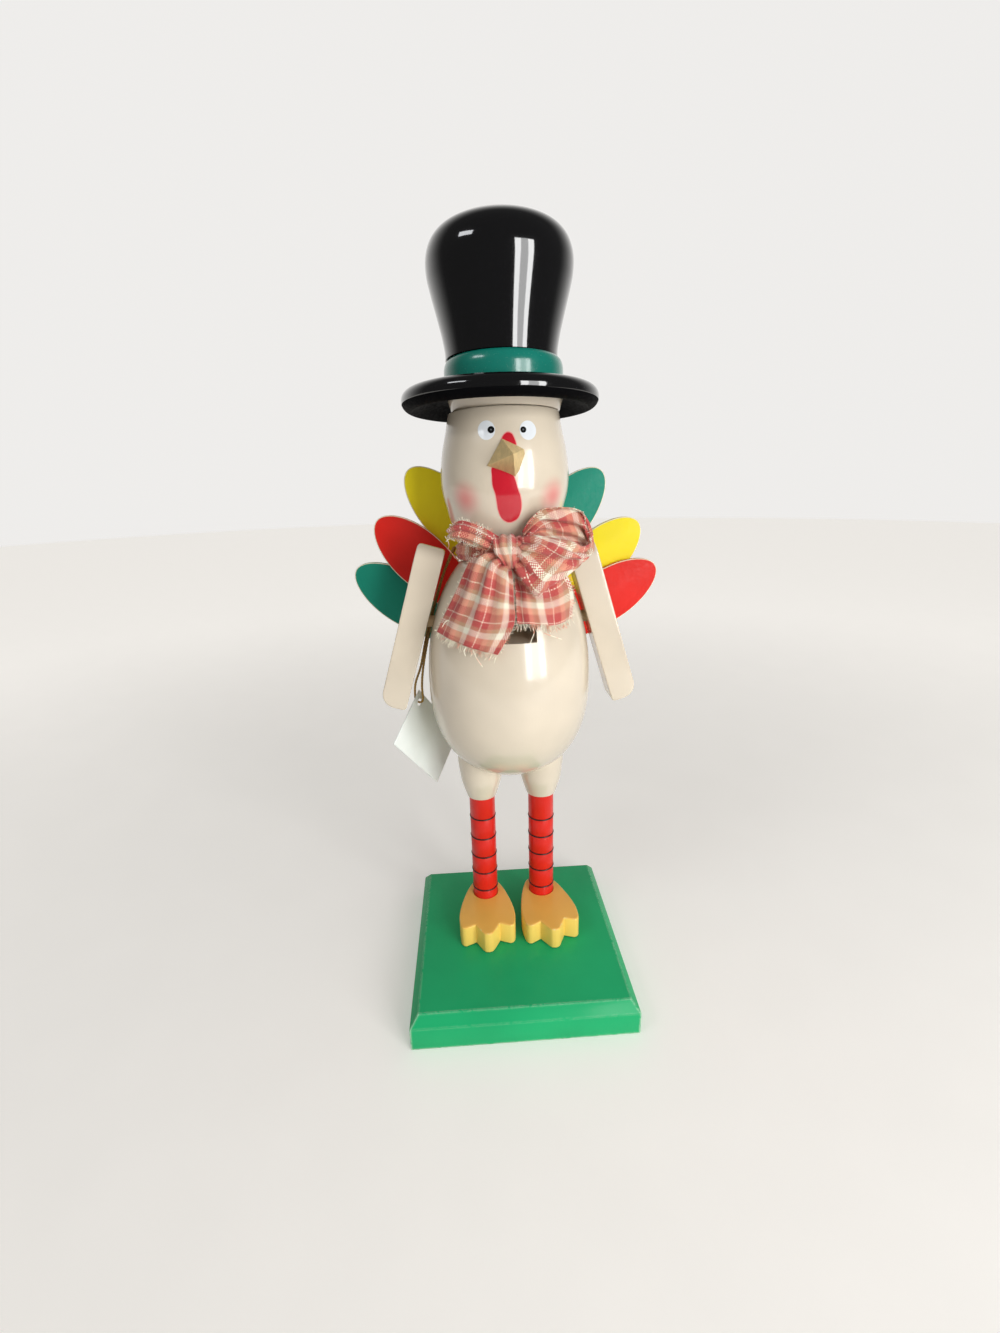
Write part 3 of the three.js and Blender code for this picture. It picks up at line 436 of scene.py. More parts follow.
def bake(made):
    """Turns what the modifiers give into the object's own mesh."""
    graph = bpy.context.evaluated_depsgraph_get()
    mesh = bpy.data.meshes.new_from_object(made.evaluated_get(graph), preserve_all_data_layers=True, depsgraph=graph)
    made.modifiers.clear()
    made.data = mesh
    return made


def shade(made, angle=38):
    """Smooth shading, but sharp where faces meet at more than the angle, in degrees."""
    made.data.shade_smooth()
    made.data.set_sharp_from_angle(angle=math.radians(angle))
    return made


def soften(made, width, segments, angle):
    """Rounds the edges that are sharper than the angle, in degrees, by a width in millimetres."""
    step = made.modifiers.new("soften", "BEVEL")
    step.width = width * MM
    step.segments = segments
    step.limit_method = "ANGLE"
    step.angle_limit = math.radians(angle)
    return bake(made)


def carve(made, cutters, operation="DIFFERENCE"):
    """Cuts the cutters out of a piece, or keeps what it shares with them, and deletes them."""
    for cutter in cutters:
        step = made.modifiers.new("carve", "BOOLEAN")
        step.operation = operation
        step.solver = "EXACT"
        step.object = cutter
    bake(made)
    for cutter in cutters:
        bpy.data.objects.remove(cutter)
    return made


def show(made, nodes, body=FIGURE):
    """Hands a finished piece to the frame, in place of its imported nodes."""
    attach(made, body)
    if nodes:
        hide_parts(*nodes)
    return made


def curve_through(points, steps, closed=False):
    """Centripetal Catmull-Rom points through the given ones."""
    points = [np.array(point, float) for point in points]
    if closed:
        padded = [points[-1], *points, points[0], points[1]]
    else:
        padded = [2 * points[0] - points[1], *points, 2 * points[-1] - points[-2]]
    result = []
    for a, b, c, d in zip(padded, padded[1:], padded[2:], padded[3:]):
        knots = [0.0]
        for start, end in ((a, b), (b, c), (c, d)):
            knots.append(knots[-1] + max(1e-6, np.linalg.norm(end - start)) ** 0.5)
        for step in range(steps):
            t = knots[1] + (knots[2] - knots[1]) * step / steps
            def blend(p, q, i, j):
                return ((knots[j] - t) * p + (t - knots[i]) * q) / (knots[j] - knots[i])
            ab, bc, cd = blend(a, b, 0, 1), blend(b, c, 1, 2), blend(c, d, 2, 3)
            abc, bcd = blend(ab, bc, 0, 2), blend(bc, cd, 1, 3)
            result.append(blend(abc, bcd, 1, 2))
    if not closed:
        result.append(points[-1])
    return result


def smooth_points(points, steps, closed=False):
    """A smooth line through an outline's points, as plain pairs."""
    return [tuple(point) for point in curve_through(points, steps, closed)]


def turned(name, profile, material, sides=TURN_SIDES, place=None):
    """A turned piece about Z from (radius, height) pairs in millimetres that go up its outside."""
    place = place or Matrix.Translation((0, AXIS_Y * MM, 0))
    shape = bmesh.new()
    rings = []
    looped = tuple(profile[0]) == tuple(profile[-1])
    for radius, height in profile[:-1] if looped else profile:
        count = 1 if radius < 1e-6 else sides
        rings.append([shape.verts.new((radius * MM * math.cos(2 * math.pi * i / sides),
                                       radius * MM * math.sin(2 * math.pi * i / sides), height * MM))
                      for i in range(count)])
    if looped:
        rings.append(rings[0])
    for lower, upper in zip(rings, rings[1:]):
        for i in range(sides):
            j = (i + 1) % sides
            corners = [lower[i % len(lower)], lower[j % len(lower)], upper[j % len(upper)], upper[i % len(upper)]]
            shape.faces.new(list(dict.fromkeys(corners)))
    return from_shape(name, shape, material, place=place)


def rod(radius, start, end, sides=32):
    """A plain round rod between two points, in millimetres, to cut with."""
    start, end = Vector(start), Vector(end)
    along = end - start
    place = Matrix.Translation(start * MM) @ along.to_track_quat("Z", "Y").to_matrix().to_4x4()
    return turned("rod", [(0, 0), (radius, 0), (radius, along.length), (0, along.length)], None, sides, place)


def bore(radius, x, low, high, sides=32):
    """An upright rod between two heights, beside the figure's axis by x, to cut with."""
    return rod(radius, (x, AXIS_Y, low), (x, AXIS_Y, high), sides)


def add_tube(shape, line, radius, sides, twist=0.0):
    """Adds a closed tube along a line, in millimetres; with a twist it gets two lobes that turn round it."""
    line = np.array(line, float)
    tangent = np.gradient(line, axis=0)
    tangent /= np.linalg.norm(tangent, axis=1, keepdims=True)
    side = Vector((0, 1, 0))
    run = 0.0
    rings = []
    for i, point in enumerate(line):
        way = Vector(tangent[i])
        side = (side - way * side.dot(way)).normalized()
        other = way.cross(side)
        if i:
            run += float(np.linalg.norm(point - line[i - 1]))
        ring = []
        for k in range(sides):
            angle = 2 * math.pi * k / sides
            lobe = radius * (0.78 + 0.22 * abs(math.cos(angle)) ** 0.8) if twist else radius
            turn = angle + (2 * math.pi * run / twist if twist else 0)
            ring.append(shape.verts.new((Vector(point) + lobe * (side * math.cos(turn) + other * math.sin(turn))) * MM))
        rings.append(ring)
    for lower, upper in zip(rings, rings[1:]):
        for k in range(sides):
            n = (k + 1) % sides
            shape.faces.new([lower[k], lower[n], upper[n], upper[k]])
    shape.faces.new(rings[0][::-1])
    shape.faces.new(rings[-1])
    bmesh.ops.recalc_face_normals(shape, faces=shape.faces)


# Planes that a board's outline is drawn in: (x, z) from the front and (y, z) from the side
FRONT_PLANE = Matrix(((1, 0, 0, 0), (0, 0, -1, 0), (0, 1, 0, 0), (0, 0, 0, 1)))
SIDE_PLANE = Matrix(((0, 0, 1, 0), (1, 0, 0, 0), (0, 1, 0, 0), (0, 0, 0, 1)))
LEAST_EDGE = 0.001  # rounding of a board that is only cut with


def board(name, outline, thickness, edge, plane, place, material=None):
    """A cut-out board, its outline in millimetres and its rims rounded by edge, centred on its own plane."""
    curve = bpy.data.curves.new(name, "CURVE")
    curve.dimensions = "2D"
    curve.fill_mode = "BOTH"
    curve.extrude = (thickness / 2 - edge) * MM
    curve.bevel_depth = edge * MM
    curve.bevel_resolution = 3
    curve.offset = -edge * MM
    line = curve.splines.new("POLY")
    line.points.add(len(outline) - 1)
    for point, (a, b) in zip(line.points, outline):
        point.co = (a * MM, b * MM, 0, 1)
    line.use_cyclic_u = True
    holder = bpy.data.objects.new(name, curve)
    bpy.context.scene.collection.objects.link(holder)
    graph = bpy.context.evaluated_depsgraph_get()
    mesh = bpy.data.meshes.new_from_object(holder.evaluated_get(graph))
    bpy.data.objects.remove(holder)
    bpy.data.curves.remove(curve)
    mesh.name = name
    shape = bmesh.new()
    shape.from_mesh(mesh)
    bmesh.ops.remove_doubles(shape, verts=shape.verts, dist=2e-6)
    bmesh.ops.dissolve_degenerate(shape, edges=shape.edges, dist=1e-6)
    bmesh.ops.recalc_face_normals(shape, faces=shape.faces)
    shape.to_mesh(mesh)
    shape.free()
    mesh.materials.clear()
    mesh.transform(place @ plane)
    return new_object(name, mesh, *([material] if material else []))


def block(low, high):
    """A block between two corners, in millimetres, to cut with."""
    corners = [(low[0], low[1]), (high[0], low[1]), (high[0], high[1]), (low[0], high[1])]
    place = Matrix.Translation((0, 0, (low[2] + high[2]) / 2 * MM))
    return board("block", corners, high[2] - low[2], LEAST_EDGE, Matrix(), place)


def remesh_soft(made, voxel, rounds):
    """One closed skin with its edges sanded round."""
    step = made.modifiers.new("skin", "REMESH")
    step.mode = "VOXEL"
    step.voxel_size = voxel * MM
    smooth = made.modifiers.new("sand", "SMOOTH")
    smooth.iterations = rounds
    smooth.factor = 0.5
    return bake(made)


def egg_profile(grow=0.0, top=None, steps=40):
    """The body's egg as (radius, height) pairs, grown on every side, and cut flat at top."""
    def half(part, sign, last):
        height, power = part[0] + grow, part[1]
        pairs = []
        for i in range(steps + 1):
            angle = last * i / steps
            pairs.append(((BODY_RADIUS + grow) * max(0.0, math.cos(angle)) ** (2 / power),
                          BODY_MIDDLE + sign * height * math.sin(angle) ** (2 / power)))
        return pairs
    reach = BODY_ABOVE[0] + grow
    share = min(1.0, ((top or BODY_MIDDLE + reach) - BODY_MIDDLE) / reach)
    below = half(BODY_BELOW, -1, math.pi / 2)[::-1]
    above = half(BODY_ABOVE, 1, math.asin(share ** (BODY_ABOVE[1] / 2)))
    below[0] = (0.0, below[0][1])
    if top is None:
        above[-1] = (0.0, above[-1][1])
    else:
        above.append((0.0, above[-1][1]))
    return below + above[1:]


HEAD_LINE = smooth_points(HEAD_PROFILE, 8)


def head_radius(height):
    """The head's radius at a height, in millimetres."""
    return float(np.interp(height, [z for _, z in HEAD_LINE], [r for r, _ in HEAD_LINE]))


def upright(x=0.0, y=0.0, z=0.0, turn=0.0):
    """A place measured from the figure's axis, in millimetres, turned about Z by degrees."""
    return Matrix.Translation((x * MM, (AXIS_Y + y) * MM, z * MM)) @ Matrix.Rotation(math.radians(turn), 4, "Z")


class TurkeyPiece:
    """What the operators share."""
    bl_options = {"REGISTER", "UNDO"}

    @property
    def paints(self):
        return bpy.context.scene.turkey_paints

    @property
    def cream(self):
        return bpy.data.materials["Cream Paint"]


class TURKEY_OT_base(TurkeyPiece, bpy.types.Operator):
    """Base board with its bevelled edge"""
    bl_idname = "turkey.base"
    bl_label = "Base Board"

    def execute(self, context):
        green = paint_material("Board Paint", self.paints.green, 0.4, 0.15, wear=0.75, specular=0.1,
                               worn_colour=srgb(225, 240, 222), grain=0.00016, edge_width=0.0016, coat_gloss=0.15)
        top = BOARD_HALF - BOARD_BEVEL
        root = math.sqrt(2)
        profile = [(0, 0), (BOARD_HALF * root, 0), (BOARD_HALF * root, BOARD_EDGE), (top * root, BOARD_TOP),
                   (0, BOARD_TOP)]
        place = Matrix.Rotation(math.pi / 4, 4, "Z")
        made = soften(turned("Base_Board", profile, green, 4, place), 0.35, 3, 20)
        holes = []
        for x in (-LEG_X, LEG_X):
            holes += [bore(SCREW_HOLE, x, -1, BOARD_TOP + 1), bore(SCREW_HEAD_HOLE, x, -1, SCREW_HEAD_TOP)]
        show(shade(carve(made, holes)), ["base_board"])
        return {"FINISHED"}


class TURKEY_OT_feet(TurkeyPiece, bpy.types.Operator):
    """Two cut-out feet with three short toes each"""
    bl_idname = "turkey.feet"
    bl_label = "Feet"

    SIDE = [(0, 9), (5.4, 7.7), (8.2, 3.5), (12, -8.3), (13.2, -16.5), (12.9, -21.5)]
    OUTER_TOE = [(12.9, -21.5), (12.4, -23.4), (11.4, -24.5), (10.2, -24.8)]
    NOTCH = (5.65, -22.9)
    MIDDLE_TOE = [(2.6, -27.9), (1.6, -28.9), (0, -29.3)]
    THICKNESS, EDGE = 10.6, 0.7
    TURN = {"left": 0.6, "right": 6.1}
    LEG_HOLE, LEG_HOLE_TOP = 6.3, 40

    def walls(self, tree, place, tone):
        """Upright walls are a paler yellow than the top."""
        normal = add(tree, "ShaderNodeNewGeometry").outputs["Normal"]
        level = math_value(tree, "ABSOLUTE", add(tree, "ShaderNodeSeparateXYZ", {0: normal}).outputs["Z"])
        return mix_colour(tree, range_value(tree, level, 0.2, 0.75, 1.0, 0.0), tone, rgba(srgb(252, 212, 104)))

    def execute(self, context):
        orange = paint_material("Foot Paint", self.paints.orange, 0.4, 0.1, wear=0.2, extra=self.walls,
                                worn_colour=srgb(246, 222, 150), grain=0.00014, rim="Z", specular=0.3)
        right = [*smooth_points(self.SIDE, 8)[:-1], *smooth_points(self.OUTER_TOE, 4), self.NOTCH,
                 *smooth_points(self.MIDDLE_TOE, 5)]
        outline = right + [(-x, y) for x, y in right[::-1][1:-1]]
        for side, sign in SIDES:
            x = sign * LEG_X
            place = upright(x, 0, BOARD_TOP + GAP + self.THICKNESS / 2, self.TURN[side])
            made = board(f"Foot_{side.title()}", outline, self.THICKNESS, self.EDGE, Matrix(), place, orange)
            carve(made, [bore(self.LEG_HOLE, x, LEG_BOTTOM - GAP, self.LEG_HOLE_TOP),
                         bore(SCREW_HOLE, x, SCREW_HEAD_TOP + 1, LEG_BOTTOM)])
            show(shade(made), [f"foot_{side}"])
        return {"FINISHED"}


def modifier_tree(name, inputs):
    """An empty Geometry Nodes tree for a modifier, with named inputs of the given kinds, and its input node."""
    tree = bpy.data.node_groups.new(name, "GeometryNodeTree")
    tree.is_modifier = True
    for title, kind in {"Geometry": "Geometry", **inputs}.items():
        tree.interface.new_socket(title, in_out="INPUT", socket_type=f"NodeSocket{kind}")
    tree.interface.new_socket("Geometry", in_out="OUTPUT", socket_type="NodeSocketGeometry")
    return tree, add(tree, "NodeGroupInput")


def finish_tree(tree, source, inputs):
    """Ends a modifier's tree: instances on the points of its input, made real and painted."""
    many = add(tree, "GeometryNodeInstanceOnPoints", {"Points": source.outputs["Geometry"], **inputs})
    real = add(tree, "GeometryNodeRealizeInstances", {"Geometry": many.outputs["Instances"]})
    painted = add(tree, "GeometryNodeSetMaterial", {"Geometry": real.outputs["Geometry"],
                                                    "Material": source.outputs["Material"]})
    add(tree, "NodeGroupOutput", {"Geometry": painted.outputs["Geometry"]})
    return tree


def ring_tree():
    """Geometry Nodes: thin rings threaded on a post, one at each point of the input."""
    tree, source = modifier_tree("Rings On A Post", {"Post Radius": "Float", "Line Radius": "Float",
                                                     "Material": "Material"})
    path = add(tree, "GeometryNodeCurvePrimitiveCircle", {"Resolution": 96, "Radius": source.outputs["Post Radius"]})
    line = add(tree, "GeometryNodeCurvePrimitiveCircle", {"Resolution": 10, "Radius": source.outputs["Line Radius"]})
    ring = add(tree, "GeometryNodeCurveToMesh", {"Curve": path.outputs["Curve"],
                                                 "Profile Curve": line.outputs["Curve"]})
    smooth = add(tree, "GeometryNodeSetShadeSmooth", {"Geometry": ring.outputs["Mesh"]})
    return finish_tree(tree, source, {"Instance": smooth.outputs["Geometry"]})


def run_tree(made, tree, values):
    """Runs a Geometry Nodes tree on an object with its inputs set by name, and keeps the result."""
    step = made.modifiers.new("tree", "NODES")
    names = {item.name: item.identifier for item in tree.interface.items_tree
             if item.item_type == "SOCKET" and item.in_out == "INPUT"}
    step.node_group = tree
    for name, value in values.items():
        step[names[name]] = value
    return bake(made)


class TURKEY_OT_legs(TurkeyPiece, bpy.types.Operator):
    """Legs with their thin dark rings, and the cups of the thighs"""
    bl_idname = "turkey.legs"
    bl_label = "Legs And Thighs"

    RING_HEIGHTS = {"left": (30.5, 40.2, 49.2, 59.3, 69.8), "right": (30.6, 40.2, 49.3, 58.8, 68.1)}
    LEG_RADIUS, LEG_EDGE, SIDES_ROUND = 6.0, 0.4, 96
    SCREW_DEPTH = 13.4
    GROOVE_HALF, GROOVE_DEPTH = 0.45, 0.25
    RING_SINK, RING_LINE = 0.15, 0.42

    # (radius, height) up the thigh: the leg's bore, the outside, and the dowel's bore
    CUP_FOOT = [(0, 89), (6.3, 89), (6.3, 81.2), (6.5, 81)]
    CUP_SIDE = [(6.8, 81), (7.5, 83), (8.4, 86), (9.2, 89), (9.8, 93), (10.4, 99)]
    CUP_TOP = [(10.4, 106), (4.3, 106), (4.3, 91.7), (0, 91.7)]

    def leg_profile(self, side):
        """The leg with its screw's bore, and a shallow groove under each ring."""
        radius, edge = self.LEG_RADIUS, self.LEG_EDGE
        bore = LEG_BOTTOM + self.SCREW_DEPTH
        profile = [(0, bore), (SCREW_HOLE, bore), (SCREW_HOLE, LEG_BOTTOM), (radius - edge, LEG_BOTTOM),
                   (radius, LEG_BOTTOM + edge)]
        for height in self.RING_HEIGHTS[side]:
            profile += [(radius, height - self.GROOVE_HALF), (radius - self.GROOVE_DEPTH, height),
                        (radius, height + self.GROOVE_HALF)]
        return profile + [(radius, LEG_TOP - edge), (radius - edge, LEG_TOP), (0, LEG_TOP)]

    def execute(self, context):
        red = paint_material("Leg Paint", self.paints.red, 0.35, 0.1, grain=0.00012, specular=0.3)
        dark = paint_material("Leg Ring Paint", srgb(38, 7, 11), 0.4, 0.1)
        cream = paint_material("Cream Paint", self.paints.cream, 0.2, 0.7)
        tree = ring_tree()
        for side, sign in SIDES:
            x = sign * LEG_X
            leg = turned(f"Leg_{side.title()}", self.leg_profile(side), red, self.SIDES_ROUND, upright(x))
            show(shade(leg), [f"leg_{side}"])
            heights = bpy.data.meshes.new(f"Leg_Rings_{side.title()}")
            heights.from_pydata([(x * MM, AXIS_Y * MM, height * MM) for height in self.RING_HEIGHTS[side]], [], [])
            rings = new_object(f"Leg_Rings_{side.title()}", heights)
            run_tree(rings, tree, {"Post Radius": (self.LEG_RADIUS - self.RING_SINK) * MM,
                                   "Line Radius": self.RING_LINE * MM, "Material": dark})
            show(rings, [])
            cup = [*self.CUP_FOOT, *smooth_points(self.CUP_SIDE, 5), *self.CUP_TOP]
            thigh = turned(f"Thigh_{side.title()}", cup, cream, self.SIDES_ROUND, upright(x))
            carve(thigh, [turned("cutter", egg_profile(GAP), None)])
            show(shade(thigh), [f"thigh_{side}"])
        return {"FINISHED"}


class TURKEY_OT_body(TurkeyPiece, bpy.types.Operator):
    """Egg-shaped body with the slot for the lever"""
    bl_idname = "turkey.body"
    bl_label = "Body"

    def execute(self, context):
        made = turned("Body", egg_profile(0.0, BODY_TOP), self.cream)
        inside = wood_material("Slot Wood", srgb(214, 184, 148))
        slot = board("slot", SLOT, 2 * SLOT_HALF_WIDTH, LEAST_EDGE, SIDE_PLANE, upright(), inside)
        pin_end = low_and_high("lever_pin", 0)[1] + 10
        shoulder_y = AXIS_Y + SHOULDER_Y
        cutters = [slot, block((-BEYOND, AXIS_Y + TAIL_SEAT_Y, TAIL_SEAT_BOTTOM), (BEYOND, BEHIND, BODY_TOP + 1)),
                   rod(PIN_HOLE, (-pin_end, PIVOT_Y, PIVOT_Z), (pin_end, PIVOT_Y, PIVOT_Z)),
                   bore(NECK_HOLE, 0, NECK_BOTTOM, BODY_TOP + 1)]
        for _, sign in SIDES:
            cutters += [bore(DOWEL_HOLE, sign * LEG_X, HIP_BOTTOM, HIP_TOP),
                        rod(SHOULDER_HOLE, (sign * SHOULDER_INNER, shoulder_y, SHOULDER_Z),
                            (sign * BEYOND, shoulder_y, SHOULDER_Z))]
        show(shade(carve(made, cutters), 30), ["body"])
        return {"FINISHED"}


class TURKEY_OT_lever(TurkeyPiece, bpy.types.Operator):
    """Lever: the jaw and the handle down the back, with its pin"""
    bl_idname = "turkey.lever"
    bl_label = "Lever"

    JAW = [(-9, 173.5), (-27.6, 175.5), (-23.5, 184), (-5, 184)]
    BACK = [(1.5, 181), (3.4, 175.2), (22.5, 149.1), (36.7, 126.4), (44.8, 105.3), (47.7, 84.7)]
    END = [(47.7, 84.7), (46.2, 80.9), (42.6, 79.3), (39.4, 80.4), (38.3, 83.3)]
    FRONT = [(38.3, 83.3), (35.2, 102.7), (27.3, 121.6), (13.5, 142.9), (-5.4, 168.8)]
    EDGE = 0.9

    def execute(self, context):
        outline = [*self.JAW, *smooth_points(self.BACK, 6), *smooth_points(self.END, 6)[1:],
                   *smooth_points(self.FRONT, 6)[1:]]
        made = board("Lever", outline, LEVER_WIDTH, self.EDGE, SIDE_PLANE, upright(), self.cream)
        hole = rod(PIN_HOLE, (-LEVER_WIDTH, PIVOT_Y, PIVOT_Z), (LEVER_WIDTH, PIVOT_Y, PIVOT_Z))
        show(shade(carve(made, [hole])), ["lever"], LEVER)
        return {"FINISHED"}


def on_head(x, z, lift):
    """The point on the head's front above (x, z), in millimetres, lifted outwards."""
    radius = head_radius(z) + lift
    return (x, AXIS_Y - math.sqrt(max(0.0, radius * radius - x * x)), z)


PAINT_ROOT = -0.25  # how deep in the head a patch of paint begins


def painted_patch(name, outline, lift, material, rings=6):
    """A thin layer of paint on the head inside an (x, z) outline that can be seen from its middle."""
    centre = np.mean(outline, axis=0)
    shape = bmesh.new()
    layers = []
    for height in (lift, PAINT_ROOT):
        rows = [[shape.verts.new(Vector(on_head(*centre, height)) * MM)]]
        for ring in range(1, rings + 1):
            reach = ring / rings
            rows.append([shape.verts.new(Vector(on_head(*(centre + reach * (np.array(p) - centre)), height)) * MM)
                         for p in outline])
        layers.append(rows)
    count = len(outline)
    for layer, rows in enumerate(layers):
        for inner, outer in zip(rows, rows[1:]):
            for i in range(count):
                j = (i + 1) % count
                corners = list(dict.fromkeys([inner[i % len(inner)], outer[i], outer[j], inner[j % len(inner)]]))
                shape.faces.new(corners if layer == 0 else corners[::-1])
    for i in range(count):
        j = (i + 1) % count
        shape.faces.new([layers[0][-1][i], layers[1][-1][i], layers[1][-1][j], layers[0][-1][j]])
    bmesh.ops.recalc_face_normals(shape, faces=shape.faces)
    return shade(from_shape(name, shape, material))


def oval(x, z, half_width, half_height, count=40):
    """An oval's outline round (x, z)."""
    return [(x + half_width * math.cos(2 * math.pi * i / count), z + half_height * math.sin(2 * math.pi * i / count))
            for i in range(count)]


class TURKEY_OT_head(TurkeyPiece, bpy.types.Operator):
    """Head with its painted eyes, snood, wattle and blush"""
    bl_idname = "turkey.head"
    bl_label = "Head"

    FOOT_RADIUS, TOP_EDGE = 10.5, 0.3
    CHEEKS = [(-16.2, -4.5, 214.5), (16.9, -4.0, 214.8)]
    CHEEK_RADIUS = 8.5
    # the white's middle, the pupil's middle and its radius
    EYES = {"Left": ((-7.6, 237.7), (-6.0, 237.8), 1.2), "Right": ((7.2, 237.4), (5.5, 237.6), 1.08)}
    EYE_HALF = (3.05, 3.3)
    DOT_RADIUS = 0.3
    RIM_WIDTH = 0.35
    SNOOD = [(-2.4, 233.6), (-2.1, 235.0), (-1.2, 236.2), (0.0, 236.7), (1.2, 236.2), (2.0, 234.8), (2.6, 232.4),
             (0.4, 231.5)]
    WATTLE = [(-6.0, 225.0), (-6.2, 222.0), (-6.0, 218.7), (-5.1, 216.0), (-4.6, 213.2), (-4.2, 210.4), (-2.7, 207.2),
              (-0.1, 205.9), (2.9, 207.2), (4.3, 210.6), (4.0, 214.6), (3.0, 217.4), (1.9, 221.0), (0.0, 224.5)]

    def blush(self, tree, place, tone):
        """Pink that fades away round the middle of each cheek."""
        pink = rgba(self.paints.blush)
        for cheek in self.CHEEKS:
            away = add(tree, "ShaderNodeVectorMath", {0: place, 1: Vector(cheek) * MM}, operation="DISTANCE")
            amount = range_value(tree, away.outputs["Value"], 0.0, self.CHEEK_RADIUS * MM, 0.85, 0.0, smooth=True)
            tone = mix_colour(tree, amount, tone, pink)
        return tone

    def ball(self):
        """The head itself, with the bores of its two dowels."""
        skin = paint_material("Head Paint", self.paints.cream, 0.2, 0.7, extra=self.blush)
        low = low_and_high("head", 2)[0]
        rim, top = HEAD_LINE[-1]
        profile = [(0, NECK_TOP), (NECK_HOLE, NECK_TOP), (NECK_HOLE, low), (self.FOOT_RADIUS, low),
                   *HEAD_LINE[:-1], (rim, top - self.TOP_EDGE), (rim - self.TOP_EDGE, top), (0, top)]
        made = carve(turned("Head", profile, skin), [bore(DOWEL_HOLE, 0, HAT_Z - HAT_DOWEL_DOWN, HAT_Z + 1)])
        show(shade(made, 30), ["head"])

    def eyes(self):
        """White, pupil and a small dot in the pupil, one over the other."""
        white = paint_material("Eye White", srgb(240, 245, 250), 0.2, 0.7)
        black = paint_material("Pupil Paint", srgb(16, 17, 20), 0.18, 0.7)
        grey = paint_material("Pupil Dot Paint", srgb(96, 100, 104), 0.25, 0.6)
        for side, (eye, pupil, size) in self.EYES.items():
            dot = oval(*pupil, self.DOT_RADIUS, self.DOT_RADIUS, 16)
            show(painted_patch(f"Eye_White_{side}", oval(*eye, *self.EYE_HALF), 0.07, white), [])
            show(painted_patch(f"Pupil_{side}", oval(*pupil, size, size), 0.12, black, 3), [])
            show(painted_patch(f"Pupil_Dot_{side}", dot, 0.15, grey, 2), [])

    def wattle(self):
        """The red wattle and snood, each with a thin pink rim where the brush spread the paint."""
        red = paint_material("Wattle Paint", self.paints.wattle, 0.2, 0.6)
        pink = paint_material("Wattle Rim Paint", srgb(240, 150, 146), 0.25, 0.6)
        for name, outline in (("Wattle", self.WATTLE), ("Snood", self.SNOOD)):
            smooth = smooth_points(outline, 6, closed=True)
            centre = np.mean(smooth, axis=0)
            wider = []
            for point in smooth:
                away = np.array(point) - centre
                wider.append(tuple(point + away / np.linalg.norm(away) * self.RIM_WIDTH))
            show(painted_patch(f"{name}_Rim", wider, 0.05, pink), [])
            show(painted_patch(name, smooth, 0.1, red), [])

    def execute(self, context):
        self.ball()
        self.eyes()
        self.wattle()
        return {"FINISHED"}


class TURKEY_OT_beak(TurkeyPiece, bpy.types.Operator):
    """Beak: a small bare wooden pyramid"""
    bl_idname = "turkey.beak"
    bl_label = "Beak"

    APEX = (0.6, -37, 228.5)
    RIM = [(-2.3, 234.6), (-7.9, 225.7), (2.2, 221.1), (3.8, 223.2), (5.8, 229.5), (5.5, 230.9), (2.6, 232.4)]
    RIM_Y, ROOT_Y = -24.5, -18
    GLUE = 0.15

    def execute(self, context):
        wood = wood_material("Beak Wood", self.paints.bare_wood, (2.2, 0.25, 1.0))
        shape = bmesh.new()
        corners = [self.APEX]
        for x, z in self.RIM:
            corners += [(x, self.RIM_Y, z), (x, self.ROOT_Y, z)]
        for x, y, z in corners:
            shape.verts.new((x * MM, (y + AXIS_Y) * MM, z * MM))
        bmesh.ops.convex_hull(shape, input=shape.verts)
        bmesh.ops.dissolve_limit(shape, angle_limit=math.radians(2), verts=shape.verts, edges=shape.edges)
        bmesh.ops.recalc_face_normals(shape, faces=shape.faces)
        made = from_shape("Beak", shape, wood)
        low = low_and_high("head", 2)[0]
        grown = [(0, low), *[(radius + self.GLUE, z) for radius, z in HEAD_LINE], (0, HEAD_LINE[-1][1])]
        carve(made, [turned("cutter", grown, None)])
        show(shade(soften(made, 0.25, 2, 15), 25), ["beak"])
        return {"FINISHED"}


